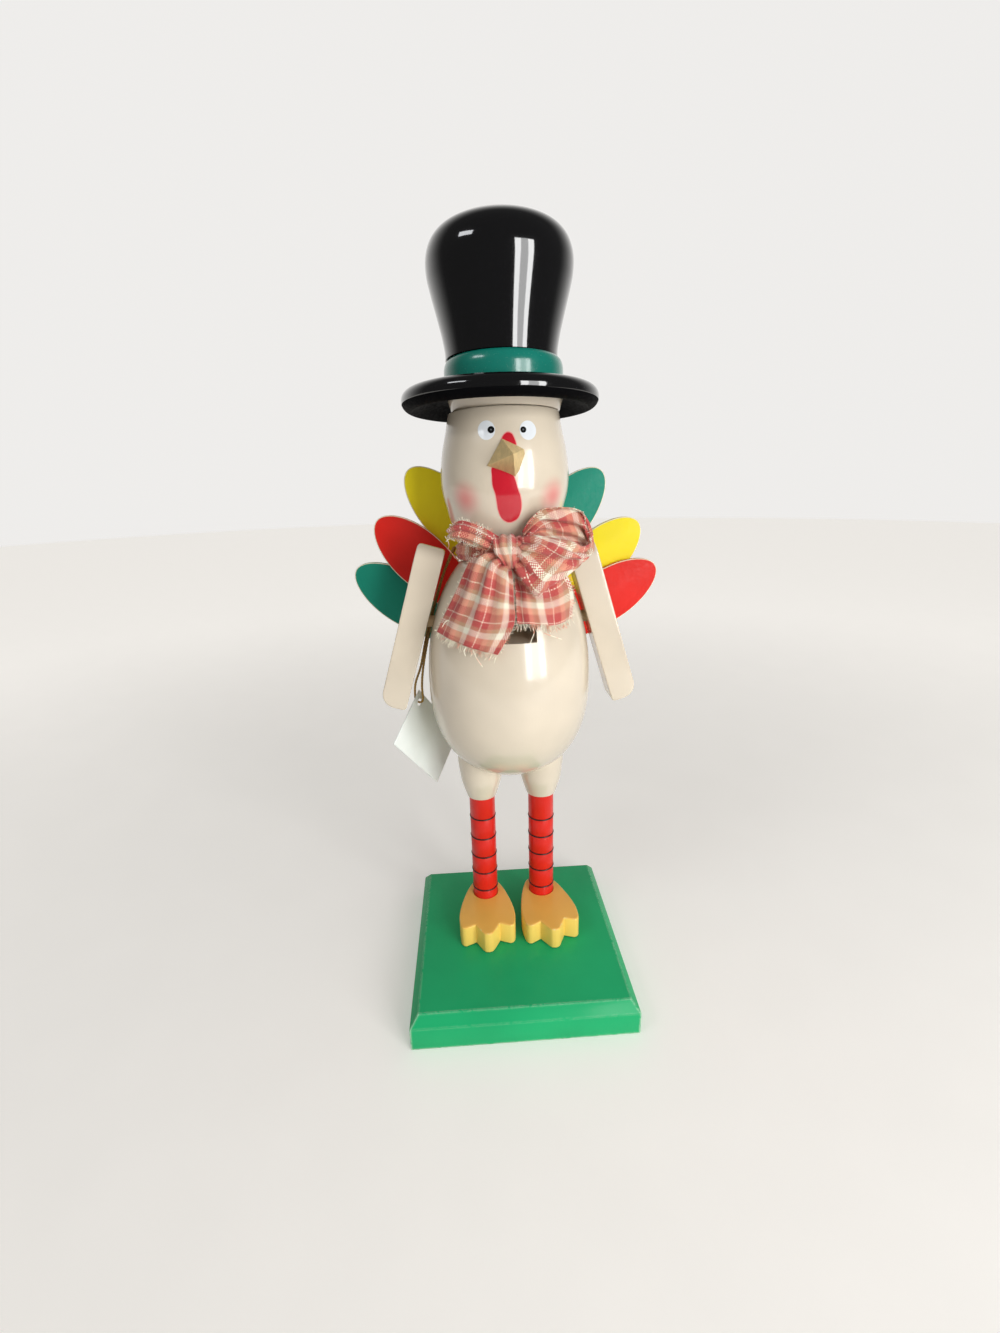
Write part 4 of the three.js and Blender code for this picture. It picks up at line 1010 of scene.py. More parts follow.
class TURKEY_OT_hat(TurkeyPiece, bpy.types.Operator):
    """Hat: ring, brim, band and crown on one dowel"""
    bl_idname = "turkey.hat"
    bl_label = "Hat"

    # (radius, height above the hat's foot), with each piece's own shift to the side
    UNDERSIDE = -0.25  # a face that looks further down than this gets the unreflecting copy of the black paint: painted shade
    RING = [(0, 0), (20.7, 0), (21.05, 0.3), (22.25, 4.3), (22, 4.6), (0, 4.6)]
    LIP = {"radius": 3.7, "centre": 34.2, "height": 4.05}
    UNDER = [(25, 4.9), (28.5, 3.3), (31.5, 1.6)]
    OVER = [(31.5, 7.7), (28, 7.4), (25, 7.2)]
    BAND = [(21.6, 7.5), (22.4, 9.6), (22.7, 12.5), (22.6, 15), (22, 16.9), (21.2, 17.8)]
    CROWN = [(21.2, 18.1), (21.3, 20.8), (22.1, 25.7), (23.3, 30.8), (26, 41.5), (26.7, 44.9), (26.95, 49),
             (26.45, 52.2), (25.35, 54.9), (23.5, 57.2), (20.8, 59), (16.7, 60.6), (10, 62.1), (0, 62.9)]
    SHIFT = {"ring": 0.9, "brim": -1.2, "band": 0.4, "crown": -0.25}

    def brim(self):
        """Its profile: flared below, with a round lip."""
        lip = [(self.LIP["centre"] + self.LIP["radius"] * math.cos(math.radians(angle)),
                self.LIP["height"] + self.LIP["radius"] * math.sin(math.radians(angle))) for angle in range(-90, 91, 9)]
        under = smooth_points([*self.UNDER, lip[0]], 6)[:-1]
        over = smooth_points([lip[-1], *self.OVER], 6)[1:]
        return [(0, under[0][1]), *under, *lip, *over, (0, over[-1][1])]

    def execute(self, context):
        black = paint_material("Hat Paint", self.paints.black, 0.14, 1.0, grain=0.00004, specular=0.1,
                               coat_gloss=0.05, coat_ior=1.75)
        # painted shade: the brim's underside gets a copy of the black paint that reflects almost nothing, so it stays
        # as dark as in shade
        underside_shade = paint_material("Brim Underside Paint", self.paints.black, 0.6, 0.0, grain=0.00004, specular=0.02)
        green = paint_material("Band Paint", self.paints.band, 0.22, 0.6)
        band = smooth_points(self.BAND, 6)
        crown = smooth_points(self.CROWN, 6)[:-1]
        for name, profile, paint, node, slot in (
                ("Head_Ring", self.RING, self.cream, "head_ring", "cream_paint"),
                ("Hat_Brim", self.brim(), black, "hat_brim", "hat_black"),
                ("Hat_Band", [(0, band[0][1]), *band, (0, band[-1][1])], green, "hat_band", "band_green"),
                ("Hat_Crown", [(0, crown[0][1]), *crown, self.CROWN[-1]], black, "hat_crown", "hat_black")):
            shift = self.SHIFT[node.split("_")[1]]
            made = turned(name, profile, paint, TURN_SIDES, upright(shift, 0, HAT_Z))
            if node == "hat_brim":
                made.data.materials.append(underside_shade)
                for face in made.data.polygons:
                    face.material_index = int(face.normal.z < self.UNDERSIDE)
            carve(made, [bore(DOWEL_HOLE, 0, HAT_Z - 1, HAT_Z + HAT_DOWEL_UP, 48)])
            show(shade(made), [node])
        return {"FINISHED"}


class TURKEY_OT_arms(TurkeyPiece, bpy.types.Operator):
    """Arms: flat bars with rounded ends, splayed from the shoulders"""
    bl_idname = "turkey.arms"
    bl_label = "Arms"

    WIDTH, DEPTH, LENGTH, SPLAY = 11.4, 13.0, 70.5, 17
    TOP = {"left": -30.4, "right": 29.8}
    TOP_Z, MIDDLE_Y = 196.5, -2
    CORNER, OUTER_CORNER, EDGE = 1.5, 6, 0.02
    VOXEL, SANDING = 0.4, 5

    def front(self, side):
        """The bar's outline, seen from the front and hung from its top, its outer corner the roundest."""
        half, bottom = self.WIDTH / 2, -self.LENGTH
        corners = [(half, 0, self.CORNER, 90), (half, bottom, self.OUTER_CORNER, 0),
                   (-half, bottom, self.CORNER, 270), (-half, 0, self.CORNER, 180)]
        outline = []
        for x, z, radius, begin in corners:
            centre = (x - math.copysign(radius, x), z - (radius if z == 0 else -radius))
            for i in range(9):
                angle = math.radians(begin - 90 * i / 8)
                outline.append((side * (centre[0] + radius * math.cos(angle)), centre[1] + radius * math.sin(angle)))
        return outline[::side]

    def execute(self, context):
        half = self.DEPTH / 2
        profile = [(half * math.cos(math.radians(a)), -half + half * math.sin(math.radians(a)))
                   for a in range(0, 181, 9)]
        profile += [(-half, -self.LENGTH), (half, -self.LENGTH)]
        for name, side in SIDES:
            made = board(f"Arm_{name.title()}", self.front(side), self.DEPTH, self.EDGE, FRONT_PLANE, Matrix())
            carve(made, [board("side", profile, 2 * self.WIDTH, self.EDGE, SIDE_PLANE, Matrix())], "INTERSECT")
            remesh_soft(made, self.VOXEL, self.SANDING)
            splay = Matrix.Rotation(math.radians(-side * self.SPLAY), 4, "Y")
            made.data.transform(upright(self.TOP[name], self.MIDDLE_Y, self.TOP_Z) @ splay)
            made.data.materials.clear()
            made.data.materials.append(self.cream)
            made.data.shade_smooth()
            show(made, [f"arm_{name}"])
        return {"FINISHED"}


class TURKEY_OT_feathers(TurkeyPiece, bpy.types.Operator):
    """Tail feathers: six painted leaves in two layers"""
    bl_idname = "turkey.feathers"
    bl_label = "Tail Feathers"

    THICKNESS, HALF_WIDTH, ROOT, EDGE = 3.2, 12.5, 6, 0.6

    # the tip's place (x, z), how far the leaf falls from level towards its root, in degrees, and its length
    LEAVES = {
        "left_green": ((-68, 184.6), 34, 62),
        "left_red": ((-56, 206.6), 44.5, 58),
        "left_yellow": ((-41.2, 227.7), 48, 62),
        "right_green": ((45.2, 225.5), 48.5, 62),
        "right_yellow": ((63.9, 202.7), 41.4, 58),
        "right_red": ((72, 182.7), 31.5, 62),
    }

    def arc(self, *corners, steps=14):
        """A cubic curve along four corners, without its last point."""
        a, b, c, d = (np.array(corner, float) for corner in corners)
        return [tuple((1 - t) ** 3 * a + 3 * (1 - t) ** 2 * t * b + 3 * (1 - t) * t * t * c + t ** 3 * d)
                for t in (i / steps for i in range(steps))]

    def outline(self, length):
        """A leaf with its tip at the origin and its cut root at the far end."""
        wide, root, widest = self.HALF_WIDTH, self.ROOT, 0.43 * length
        half = self.arc((length, -root), (0.8 * length, -0.85 * wide), (0.6 * length, -wide), (widest, -wide))
        half += self.arc((widest, -wide), (0.2 * length, -wide), (0, -0.5 * wide), (0, 0))
        return half + [(0.0, 0.0)] + [(x, -y) for x, y in half[::-1]]

    def execute(self, context):
        for name, (tip, fall, length) in self.LEAVES.items():
            colour = name.split("_")[1]
            key = f"Feather {colour.title()}"
            material = bpy.data.materials.get(key) or paint_material(
                key, getattr(self.paints, f"feather_{colour}"), 0.45, 0.0, wear=1.3,
                worn_colour=srgb(244, 234, 206), grain=0.0001, rim="Y", specked=0.03, specular=0.2)
            node = f"tail_feather_{name}"
            y = middle(node)[1] - AXIS_Y
            turn = fall if tip[0] < 0 else 180 - fall
            place = upright(tip[0], y, tip[1]) @ Matrix.Rotation(math.radians(turn), 4, "Y")
            made = board(f"Feather_{name.title()}", self.outline(length), self.THICKNESS, self.EDGE, FRONT_PLANE,
                         place, material)
            show(shade(made), [node])
        return {"FINISHED"}


class TURKEY_OT_hardware(TurkeyPiece, bpy.types.Operator):
    """Dowels, screws and the lever's pin"""
    bl_idname = "turkey.hardware"
    bl_label = "Dowels And Screws"

    def execute(self, context):
        wood = wood_material("Dowel Wood", srgb(208, 180, 138))
        steel = steel_material()
        for name, node in frame["nodes"].items():
            if "dowel" in name or "screw" in name or "pin" in name:
                node.data.materials.clear()
                node.data.materials.append(wood if "dowel" in name else steel)
        return {"FINISHED"}


# Cloth

# Rows of points across each strip, from the knot outwards, in millimetres
BOW_ROWS = {
    "tail_left": [
        [(-5.3, -14.5, 195.3), (-3.6, -15, 193.8), (-1.8, -15.5, 192), (-0.3, -15, 190.1)],
        [(-13.8, -11, 193.8), (-9.2, -17, 192.8), (-5, -19, 190), (0.1, -18, 185.7)],
        [(-19.9, -8, 183.1), (-13.6, -15.5, 181.4), (-7.1, -19, 179.5), (0.1, -19.5, 177.5)],
        [(-25.5, -6, 172.4), (-18.1, -14.5, 170.8), (-9.7, -19.5, 168.9), (0, -21, 169.9)],
        [(-29.4, -6, 164.6), (-21.9, -14, 162.2), (-13.7, -19, 160), (-6.4, -22, 158.6)],
    ],
    "tail_right": [
        [(0.6, -14, 190), (1.4, -14, 189.9), (2.7, -14, 190.3), (3.9, -13.5, 191.3)],
        [(1.2, -14, 183.3), (6.3, -15, 182.1), (13.8, -12, 182.9), (21.3, -6, 186.1)],
        [(1.2, -16.5, 176.7), (7, -17.5, 175.4), (15.4, -14, 174.8), (24.6, -6, 177)],
        [(1.2, -18.5, 169.7), (8.2, -20, 169.2), (16.2, -16.5, 168), (23.5, -10, 169.4)],
    ],
    "loop_left": [
        [(-4.6, -14.8, 201.1), (-5.1, -15.8, 199.2), (-5.8, -15.4, 197.3), (-6.6, -14.2, 195.4)],
        [(-9.1, -14, 204), (-9.5, -15.6, 201.5), (-10.2, -15, 198.9), (-10.8, -13.6, 196.9)],
        [(-14.3, -12, 206.2), (-14.5, -13.3, 203.7), (-14.9, -12.6, 201.1), (-15.7, -11, 198.7)],
        [(-18.7, -9.5, 206.9), (-19.5, -10.6, 204.6), (-19.8, -10.2, 202.1), (-19.1, -9, 200)],
        [(-22, -6, 203.9), (-22.8, -6, 202.7), (-22.7, -6, 201.4), (-21.6, -6.2, 200.4)],
        [(-18.2, -5.2, 204.8), (-18.3, -4.8, 203), (-18.1, -5.4, 201.4), (-17.6, -6.4, 200.1)],
        [(-13.1, -8.2, 203.4), (-13.2, -8.2, 202), (-13.4, -8.4, 200.6), (-13.7, -8.8, 199.2)],
        [(-6.3, -11, 200.7), (-6.5, -11, 199.3), (-6.8, -11, 197.8), (-7.2, -11, 196.3)],
    ],
    "loop_right": [
        [(3.2, -17, 200.5), (3.3, -18.5, 198.4), (3, -18.5, 196.1), (2.2, -17.5, 193.6), (1.5, -16, 191.5)],
        [(7.6, -19.5, 201.1), (8, -22.5, 198.6), (7.5, -20, 194.9), (4.9, -21.5, 190), (2.9, -18.5, 186.9)],
        [(13, -20.5, 200.7), (14.1, -24, 197.7), (13, -20.5, 192.6), (10.2, -23, 186.5), (8.4, -19.5, 180)],
        [(19.4, -18, 199), (20.3, -22, 196.2), (19, -21, 192.1), (16.2, -21, 187.6), (12.8, -18, 183.1)],
        [(25.6, -13.5, 196.2), (26.2, -16, 194.3), (24.8, -16, 192.4), (23.3, -15, 190.3), (21.3, -14, 188)],
        [(30.4, -9, 198.1), (30.6, -10.5, 196.2), (29.3, -11, 194.2), (27.4, -11, 192.4), (24.8, -11.5, 190.3)],
        [(28.7, -9, 205.1), (29.8, -7, 201.7), (29.9, -6, 198.3), (28.4, -6, 195.1), (25.2, -7.5, 191.9)],
        [(26.1, -11, 209.2), (25.7, -8, 205.1), (25, -6.5, 201), (24.4, -6.5, 196.9), (22.5, -8, 192.9)],
        [(18.6, -13, 210.5), (18.5, -10, 206.6), (18.1, -8.5, 202.9), (17.5, -8.5, 199.3), (16.8, -9, 195.7)],
        [(12, -13.5, 210.4), (11.8, -11.5, 207.2), (11.7, -10.5, 204), (11.5, -10.5, 200.8), (11.4, -11, 197.6)],
        [(8, -12.8, 207.2), (8.1, -12.2, 204.8), (7.8, -12.2, 202.4), (7.6, -12.2, 200.2), (7.3, -12.2, 197.8)],
        [(4.5, -12.5, 202.3), (4.5, -12.5, 201.1), (4.4, -12.5, 199.9), (4.2, -12.5, 198.7), (4, -12.5, 197.5)],
    ],
}


def spread_points(points, steps, count):
    """Points at even shares of a smooth line through the given ones, count of them after the first."""
    line = curve_through(points, steps)
    at = np.linspace(0, len(line) - 1, count + 1)
    return [np.array([np.interp(t, range(len(line)), [p[k] for p in line]) for k in range(3)]) for t in at]


def cloth_grid(rows, across, along):
    """A smooth grid of points through rows of control points, in millimetres."""
    spread = [spread_points(row, 8, across) for row in rows]
    columns = [spread_points([row[j] for row in spread], 10, along) for j in range(across + 1)]
    return np.array(columns).transpose(1, 0, 2)


def run_length(line):
    """How far along a line each of its points is, from 0 at the first."""
    return np.concatenate([[0], np.cumsum(np.linalg.norm(np.diff(line, axis=0), axis=1))])


def along_line(values, run, at):
    """Vectors given at each point of a line, read at other places along it."""
    return np.stack([np.interp(at, run, values[:, k]) for k in range(3)], 1)


def grid_normals(grid):
    """The cloth's outward direction at each grid point."""
    down = np.gradient(grid, axis=0)
    over = np.gradient(grid, axis=1)
    normal = np.cross(over, down)
    return normal / np.linalg.norm(normal, axis=2, keepdims=True)


def flat_places(grid):
    """Width of the flat cloth, and how far along it each row of the grid lay, in millimetres."""
    widths = np.linalg.norm(np.diff(grid, axis=1), axis=2).sum(axis=1)
    steps = np.linalg.norm(np.diff(grid, axis=0), axis=2).mean(axis=1)
    return widths.max(), np.concatenate([[0], np.cumsum(steps)])


def cloth_mesh(name, grid, width, along, material, thickness, bias=0.0, offset=0.0):
    """A cloth with its thickness, and the flat place of each point for its plaid, turned by bias in degrees."""
    count_along, count_across = grid.shape[:2]
    mesh = bpy.data.meshes.new(name)
    faces = []
    for i in range(count_along - 1):
        for j in range(count_across - 1):
            a = i * count_across + j
            faces.append((a, a + 1, a + count_across + 1, a + count_across))
    mesh.from_pydata([tuple(p * MM) for p in grid.reshape(-1, 3)], [], faces)
    layer = mesh.uv_layers.new(name="Flat")
    turn = Matrix.Rotation(math.radians(bias), 2)
    for loop in mesh.loops:
        i, j = divmod(loop.vertex_index, count_across)
        layer.data[loop.index].uv = turn @ Vector((j / (count_across - 1) * width + offset, along[i])) * MM
    made = new_object(name, mesh, material)
    shell = made.modifiers.new("thickness", "SOLIDIFY")
    shell.thickness = thickness
    shell.offset = 0
    bake(made)
    made.data.shade_smooth()
    return made


def fringe_tree():
    """Geometry Nodes: a bent thread at each point, leaning along the point's own direction."""
    tree, source = modifier_tree("Frayed Edge", {"Thread Length": "Float", "Thread Radius": "Float",
                                                 "Spread": "Float", "Seed": "Int", "Material": "Material"})
    length, spread, seed = (source.outputs[name] for name in ("Thread Length", "Spread", "Seed"))
    bent = add(tree, "GeometryNodeCurveQuadraticBezier",
               {"Resolution": 4, "Start": (0, 0, -0.15), "Middle": (0.1, 0.0, 0.5), "End": (0.34, 0.12, 1.0)})
    ratio = math_value(tree, "DIVIDE", source.outputs["Thread Radius"], length)
    section = add(tree, "GeometryNodeCurvePrimitiveCircle", {"Resolution": 4, "Radius": ratio})
    tube = add(tree, "GeometryNodeCurveToMesh", {"Curve": bent.outputs["Curve"],
                                                 "Profile Curve": section.outputs["Curve"], "Fill Caps": True})
    outwards = add(tree, "GeometryNodeInputNamedAttribute", {"Name": "outwards"}, data_type="FLOAT_VECTOR")
    aim = add(tree, "FunctionNodeAlignRotationToVector", {"Vector": outwards.outputs["Attribute"]}, axis="Z")
    low = math_value(tree, "MULTIPLY", spread, -1.0)
    least = add(tree, "ShaderNodeCombineXYZ", {"X": low, "Y": low, "Z": -3.1})
    most = add(tree, "ShaderNodeCombineXYZ", {"X": spread, "Y": spread, "Z": 3.1})
    jitter = add(tree, "FunctionNodeRandomValue", {"Min": least.outputs[0], "Max": most.outputs[0], "Seed": seed},
                 data_type="FLOAT_VECTOR")
    tilt = add(tree, "FunctionNodeEulerToRotation", {"Euler": jitter.outputs["Value"]})
    both = add(tree, "FunctionNodeRotateRotation", {"Rotation": aim.outputs["Rotation"],
                                                    "Rotate By": tilt.outputs["Rotation"]}, rotation_space="LOCAL")
    short = math_value(tree, "MULTIPLY", length, 0.35)
    size = add(tree, "FunctionNodeRandomValue", {2: short, 3: length, "Seed": seed}, data_type="FLOAT")
    return finish_tree(tree, source, {"Instance": tube.outputs["Mesh"], "Rotation": both.outputs["Rotation"],
                                      "Scale": size.outputs[1]})


def edge_points(line, outwards, spacing):
    """Points every spacing millimetres along a line, with the direction that the cloth ends in."""
    run = run_length(line)
    at = np.arange(spacing / 2, run[-1], spacing)
    ways = along_line(outwards, run, at)
    return along_line(line, run, at), ways / np.linalg.norm(ways, axis=1, keepdims=True)


THREAD_RADIUS = 0.11


def fringe(name, edges, spacing, length, spread, seed, tree, material):
    """Frayed threads along several edges of one cloth."""
    points, ways = (np.concatenate(parts) for parts in zip(*[edge_points(line, out, spacing) for line, out in edges]))
    mesh = bpy.data.meshes.new(name)
    mesh.from_pydata([tuple(p * MM) for p in points], [], [])
    direction = mesh.attributes.new("outwards", "FLOAT_VECTOR", "POINT")
    direction.data.foreach_set("vector", ways.ravel())
    made = new_object(name, mesh)
    run_tree(made, tree, {"Thread Length": length, "Thread Radius": THREAD_RADIUS * MM, "Spread": spread, "Seed": seed,
                          "Material": material})
    return made


def wrinkle(grid, amount, scale, seed):
    """Small uneven creases, none at the gathered end."""
    normals = grid_normals(grid)
    result = grid.copy()
    rows = grid.shape[0]
    for i in range(rows):
        ease = min(1.0, i / (rows * 0.2))
        for j in range(grid.shape[1]):
            place = Vector(grid[i, j]) * scale + Vector((seed, seed * 2.3, seed * 0.7))
            result[i, j] += normals[i, j] * amount * ease * noise.noise(place)
    return result


def pleat(grid, count, least_width, deepest, fade):
    """Pleats that take up the cloth's full width wherever it is gathered, and fade towards its far end."""
    normals = grid_normals(grid)
    result = grid.copy()
    rows, columns = grid.shape[:2]
    spans = np.linalg.norm(np.diff(grid, axis=1), axis=2).sum(axis=1)
    full = max(least_width, spans.max())
    for i in range(rows):
        slope = math.sqrt(2 * ((full / spans[i]) ** 2 - 1))
        depth = min(deepest * (1 - fade * i / rows), slope * spans[i] / (2 * math.pi * count))
        for j in range(columns):
            result[i, j] += normals[i, j] * depth * math.sin(2 * math.pi * count * j / (columns - 1))
    return result


class TURKEY_OT_bow(TurkeyPiece, bpy.types.Operator):
    """Bow: neck ribbon, knot, two loops and two tails of frayed plaid cloth"""
    bl_idname = "turkey.bow"
    bl_label = "Plaid Bow"

    LEAST_WIDTH = 11.0
    DEEPEST_PLEAT = 1.2

    # grid size across and along, pleats and how they fade, wrinkle height, frayed edges, turn of the plaid
    STYLES = {
        "tail_left": (60, 48, 3.5, 0.8, 0.4, ("first", "last", "end"), 0),
        "tail_right": (60, 40, 3.5, 0.7, 0.4, ("last", "end"), 0),
        "loop_left": (44, 56, 2.5, 0.0, 0.35, ("first", "last"), -4),
        "loop_right": (60, 96, 3.5, 0.0, 0.4, ("first", "last"), 22),
    }
    PLAID_OFFSET = -1.85

    # the knot's centre, half size and width of its plaid, its grid round and across, and how far round it goes
    KNOT_CENTRE, KNOT_HALF, KNOT_PLAID = (-1.5, -14.8, 195.6), (4.8, 4.8, 5.9), 20
    KNOT_GRID, KNOT_CLOSED = (60, 30), 0.985

    # the same for the ribbon, with its radii, height and shift to the front
    RIBBON_RADII, RIBBON_Z, RIBBON_FORWARD = (19.3, 20.3), 194.3, 1.2
    RIBBON_GRID, RIBBON_CLOSED = (144, 24), 0.999

    def strip(self, name, plaid, thread, tree, cloth, seed):
        """One loop or tail with its frayed edges."""
        across, along, pleats, fade, height, frayed, bias = self.STYLES[name]
        grid = cloth_grid(BOW_ROWS[name], across, along)
        grid = pleat(grid, pleats, self.LEAST_WIDTH, self.DEEPEST_PLEAT, fade)
        grid = wrinkle(grid, height, 0.16, seed)
        width, run = flat_places(grid)
        title = f"Bow_{name.title()}"
        made = cloth_mesh(title, grid, width, run, plaid, cloth.thickness, bias, self.PLAID_OFFSET)
        clear = slice(4, -4) if name.startswith("loop") else slice(4, None)  # of the knot
        edges = []
        for edge, outer, inner in (("first", 0, 1), ("last", -1, -2)):
            if edge in frayed:
                edges.append((grid[clear, outer], grid[clear, outer] - grid[clear, inner]))
        threads = [fringe(f"{title}_Side_Threads", edges, 0.5, cloth.fringe * 0.7, 0.55, seed, tree, thread)]
        if "end" in frayed:
            down = grid[-1] - grid[-2]
            threads.append(fringe(f"{title}_Hem_Threads", [(grid[-1], down)], 0.26, cloth.fringe * 1.7, 0.45,
                                  seed + 1, tree, thread))
        show(made, [f"bow_{name}"])
        for piece in threads:
            show(piece, [])

    def flat_size(self, made, run):
        """Width and length of a strip, its width from the area of one of its two faces."""
        length = float(run[-1]) * MM
        area = float(sum(face.area for face in made.data.polygons)) / 2
        return (area / length, length)

    def knot(self, plaid, cloth):
        """The strip that wraps the middle: a band bent round an oval, its pleats running down."""
        centre, half = Vector(self.KNOT_CENTRE), Vector(self.KNOT_HALF)
        around, across = self.KNOT_GRID
        rows = []
        for i in range(around + 1):
            angle = 2 * math.pi * i / around * self.KNOT_CLOSED
            row = []
            for j in range(across + 1):
                share = j / across
                side = (share - 0.5) * 2
                low = max(0.0, -math.cos(angle))
                ripple = 0.45 * math.sin(share * math.pi * 7.0 + 0.9 * math.sin(angle * 2))
                bulge = math.sqrt(max(0.0, 1 - (0.86 * side) ** 2))
                x = side * half.x * (1 - 0.4 * low) * (1 + 0.15 * math.cos(angle)) + 1.2 * low
                y = -math.sin(angle) * (half.y * (0.35 + 0.65 * bulge) + ripple)
                z = math.cos(angle) * (half.z * (0.55 + 0.45 * bulge) + ripple)
                row.append(centre + Vector((x, y, z)))
            rows.append(row)
        grid = wrinkle(np.array(rows, float), 0.3, 0.35, 9.1)
        run = flat_places(grid)[1]
        made = cloth_mesh("Bow_Knot", grid, self.KNOT_PLAID, run, plaid, cloth.thickness)
        show(made, ["bow_knot"])

    def ribbon(self, plaid, cloth):
        """The strip round the neck, gathered into soft lengthwise folds."""
        around, across = self.RIBBON_GRID
        radius_x, radius_y = self.RIBBON_RADII
        rows = []
        for i in range(around + 1):
            angle = 2 * math.pi * i / around * self.RIBBON_CLOSED
            row = []
            for j in range(across + 1):
                turn = math.radians(-110 + 220 * j / across)
                fold = 0.25 * math.sin(j * 1.25 + 0.6 * math.sin(angle * 3)) + 0.1 * math.sin(angle * 17 + j)
                out = (1.3 + fold) * math.cos(turn)
                height = self.RIBBON_Z + (3.1 + fold) * math.sin(turn)
                row.append(((radius_x + out) * math.sin(angle),
                            AXIS_Y - self.RIBBON_FORWARD + (radius_y + out) * math.cos(angle), height))
            rows.append(row)
        grid = np.array(rows, float)
        width, run = flat_places(grid)
        made = cloth_mesh("Neck_Ribbon", grid, width, run, plaid, cloth.thickness)
        show(made, ["neck_ribbon"])

    LOOSE_THREADS = [
        [(-24.3, -6.5, 201.3), (-23.5, -5.5, 199.9), (-23.1, -3, 197.8), (-23.4, -1, 196.2), (-22, 1, 194),
         (-21.1, 0, 192.6), (-19.7, -2, 192.1), (-18, -5, 192)],
        [(-24, -6.5, 199.4), (-22.3, -7, 200.5), (-20.6, -8, 199.6)],
        [(-15.6, -21.5, 160.8), (-14.6, -22.8, 158.4), (-13.4, -22.6, 156.2), (-12.3, -22.2, 154.3)],
        [(-18.1, -21, 161.9), (-18.9, -22, 160.3), (-18.4, -22, 158.7)],
        [(10.8, -20.3, 166), (13, -20.4, 165.1), (15.8, -19.3, 163.8), (18.3, -18, 162.6)],
        [(7.2, -20, 168.3), (7.4, -20.3, 166.1), (6.4, -20.2, 163.4), (5.9, -20, 161.8)],
        [(28.8, -10.5, 196.5), (30.2, -11, 195.9), (31.3, -10.5, 195.1), (30.7, -10.5, 194)],
        [(-24.4, -9, 169.8), (-25.8, -8.5, 169), (-27.1, -8, 167)],
    ]
    LOOSE_RADIUS = 0.16

    def loose_threads(self, material):
        """Single threads that have come out of the cloth."""
        shape = bmesh.new()
        for points in self.LOOSE_THREADS:
            add_tube(shape, curve_through(points, 8), self.LOOSE_RADIUS, 8)
        show(shade(from_shape("Bow_Loose_Threads", shape, material), 60), [])

    def execute(self, context):
        cloth = context.scene.turkey_cloth
        plaid = plaid_material(cloth)
        thread = thread_material(cloth)
        tree = fringe_tree()
        self.loose_threads(thread)
        self.ribbon(plaid, cloth)
        self.knot(plaid, cloth)
        for seed, name in enumerate(self.STYLES):
            self.strip(name, plaid, thread, tree, cloth, seed + 1)
        return {"FINISHED"}


class TURKEY_OT_tag(TurkeyPiece, bpy.types.Operator):
    """Blank tag and its twisted cord"""
    bl_idname = "turkey.tag"
    bl_label = "Tag And Cord"

    CARD_WIDTH, CARD_HEIGHT, CARD_THICKNESS = 28, 45, 0.5
    HOLE_INSET, HOLE_RADIUS = 4.2, 1.75
    CORNER = (-41.2, 24, 130.5)
    YAW, DROP = 58, 48
    CORD_DOWN = [(-21.6, 15.6, 195.6), (-24.2, 16.3, 190.3), (-26.6, 16.8, 184.6), (-31.7, 17, 169),
                 (-35, 17, 156.3), (-38, 17, 142.8), (-39.3, 20, 133.5)]
    CORD_UP = [(-42.6, 23.4, 133.5), (-39.3, 20.4, 142.8), (-36, 19.6, 156.3), (-32.2, 19.8, 169),
               (-26.6, 19.8, 184.6), (-23.8, 19.3, 190.3), (-21, 18.8, 195.4)]
    TURN_RADIUS, CORD_STEP = 2.2, 0.22

    def directions(self):
        """The card's own directions: across, along and out of its face."""
        yaw, drop = math.radians(self.YAW), math.radians(self.DROP)
        level = Vector((math.cos(yaw), math.sin(yaw), 0))
        across = -math.sin(drop) * level - math.cos(drop) * Vector((0, 0, 1))
        along = math.cos(drop) * level - math.sin(drop) * Vector((0, 0, 1))
        return across, along, Vector((math.sin(yaw), -math.cos(yaw), 0))

    def card(self, tag, across, along, normal):
        """The blank card, with its hole near one corner."""
        outline = [(0, 0), (self.CARD_WIDTH, 0), (self.CARD_WIDTH, self.CARD_HEIGHT), (0, self.CARD_HEIGHT)]
        made = board("Tag_Card", outline, self.CARD_THICKNESS, 0.12, Matrix(), Matrix(), card_material(tag))
        carve(made, [rod(self.HOLE_RADIUS, (self.HOLE_INSET, self.HOLE_INSET, -2),
                         (self.HOLE_INSET, self.HOLE_INSET, 2))])
        place = Matrix((across, along, normal)).transposed().to_4x4()
        place.translation = Vector(self.CORNER) * MM
        made.data.transform(place)
        show(shade(made), ["tag_card"])
        return made

    def route(self, across, along, normal):
        """The cord's line, at even steps, and its length: down, through the card's hole, and back up."""
        hole = Vector(self.CORNER) + (across + along) * self.HOLE_INSET
        points = [Vector(p) for p in self.CORD_DOWN]
        for angle in range(0, 181, 30):
            turn = math.radians(angle)
            point = hole + normal * (self.TURN_RADIUS * math.cos(turn))
            point.z += self.TURN_RADIUS * (1 - math.sin(turn))
            points.append(point)
        points += [Vector(p) for p in self.CORD_UP]
        line = np.array(curve_through(points, 12))
        run = run_length(line)
        at = np.linspace(0, run[-1], int(run[-1] / self.CORD_STEP))
        return along_line(line, run, at), float(run[-1])

    def cord(self, tag, line):
        """Two strands twisted together, as one closed tube with a two-lobed section."""
        shape = bmesh.new()
        add_tube(shape, line, tag.cord_diameter / MM / 2, 20, tag.cord_twist / MM)
        return shade(from_shape("Tag_Cord", shape, cord_material(tag)), 70)

    def execute(self, context):
        tag = context.scene.turkey_tag
        across, along, normal = self.directions()
        card = self.card(tag, across, along, normal)
        line, length = self.route(across, along, normal)
        made = self.cord(tag, line)
        show(made, ["tag_cord"])
        return {"FINISHED"}


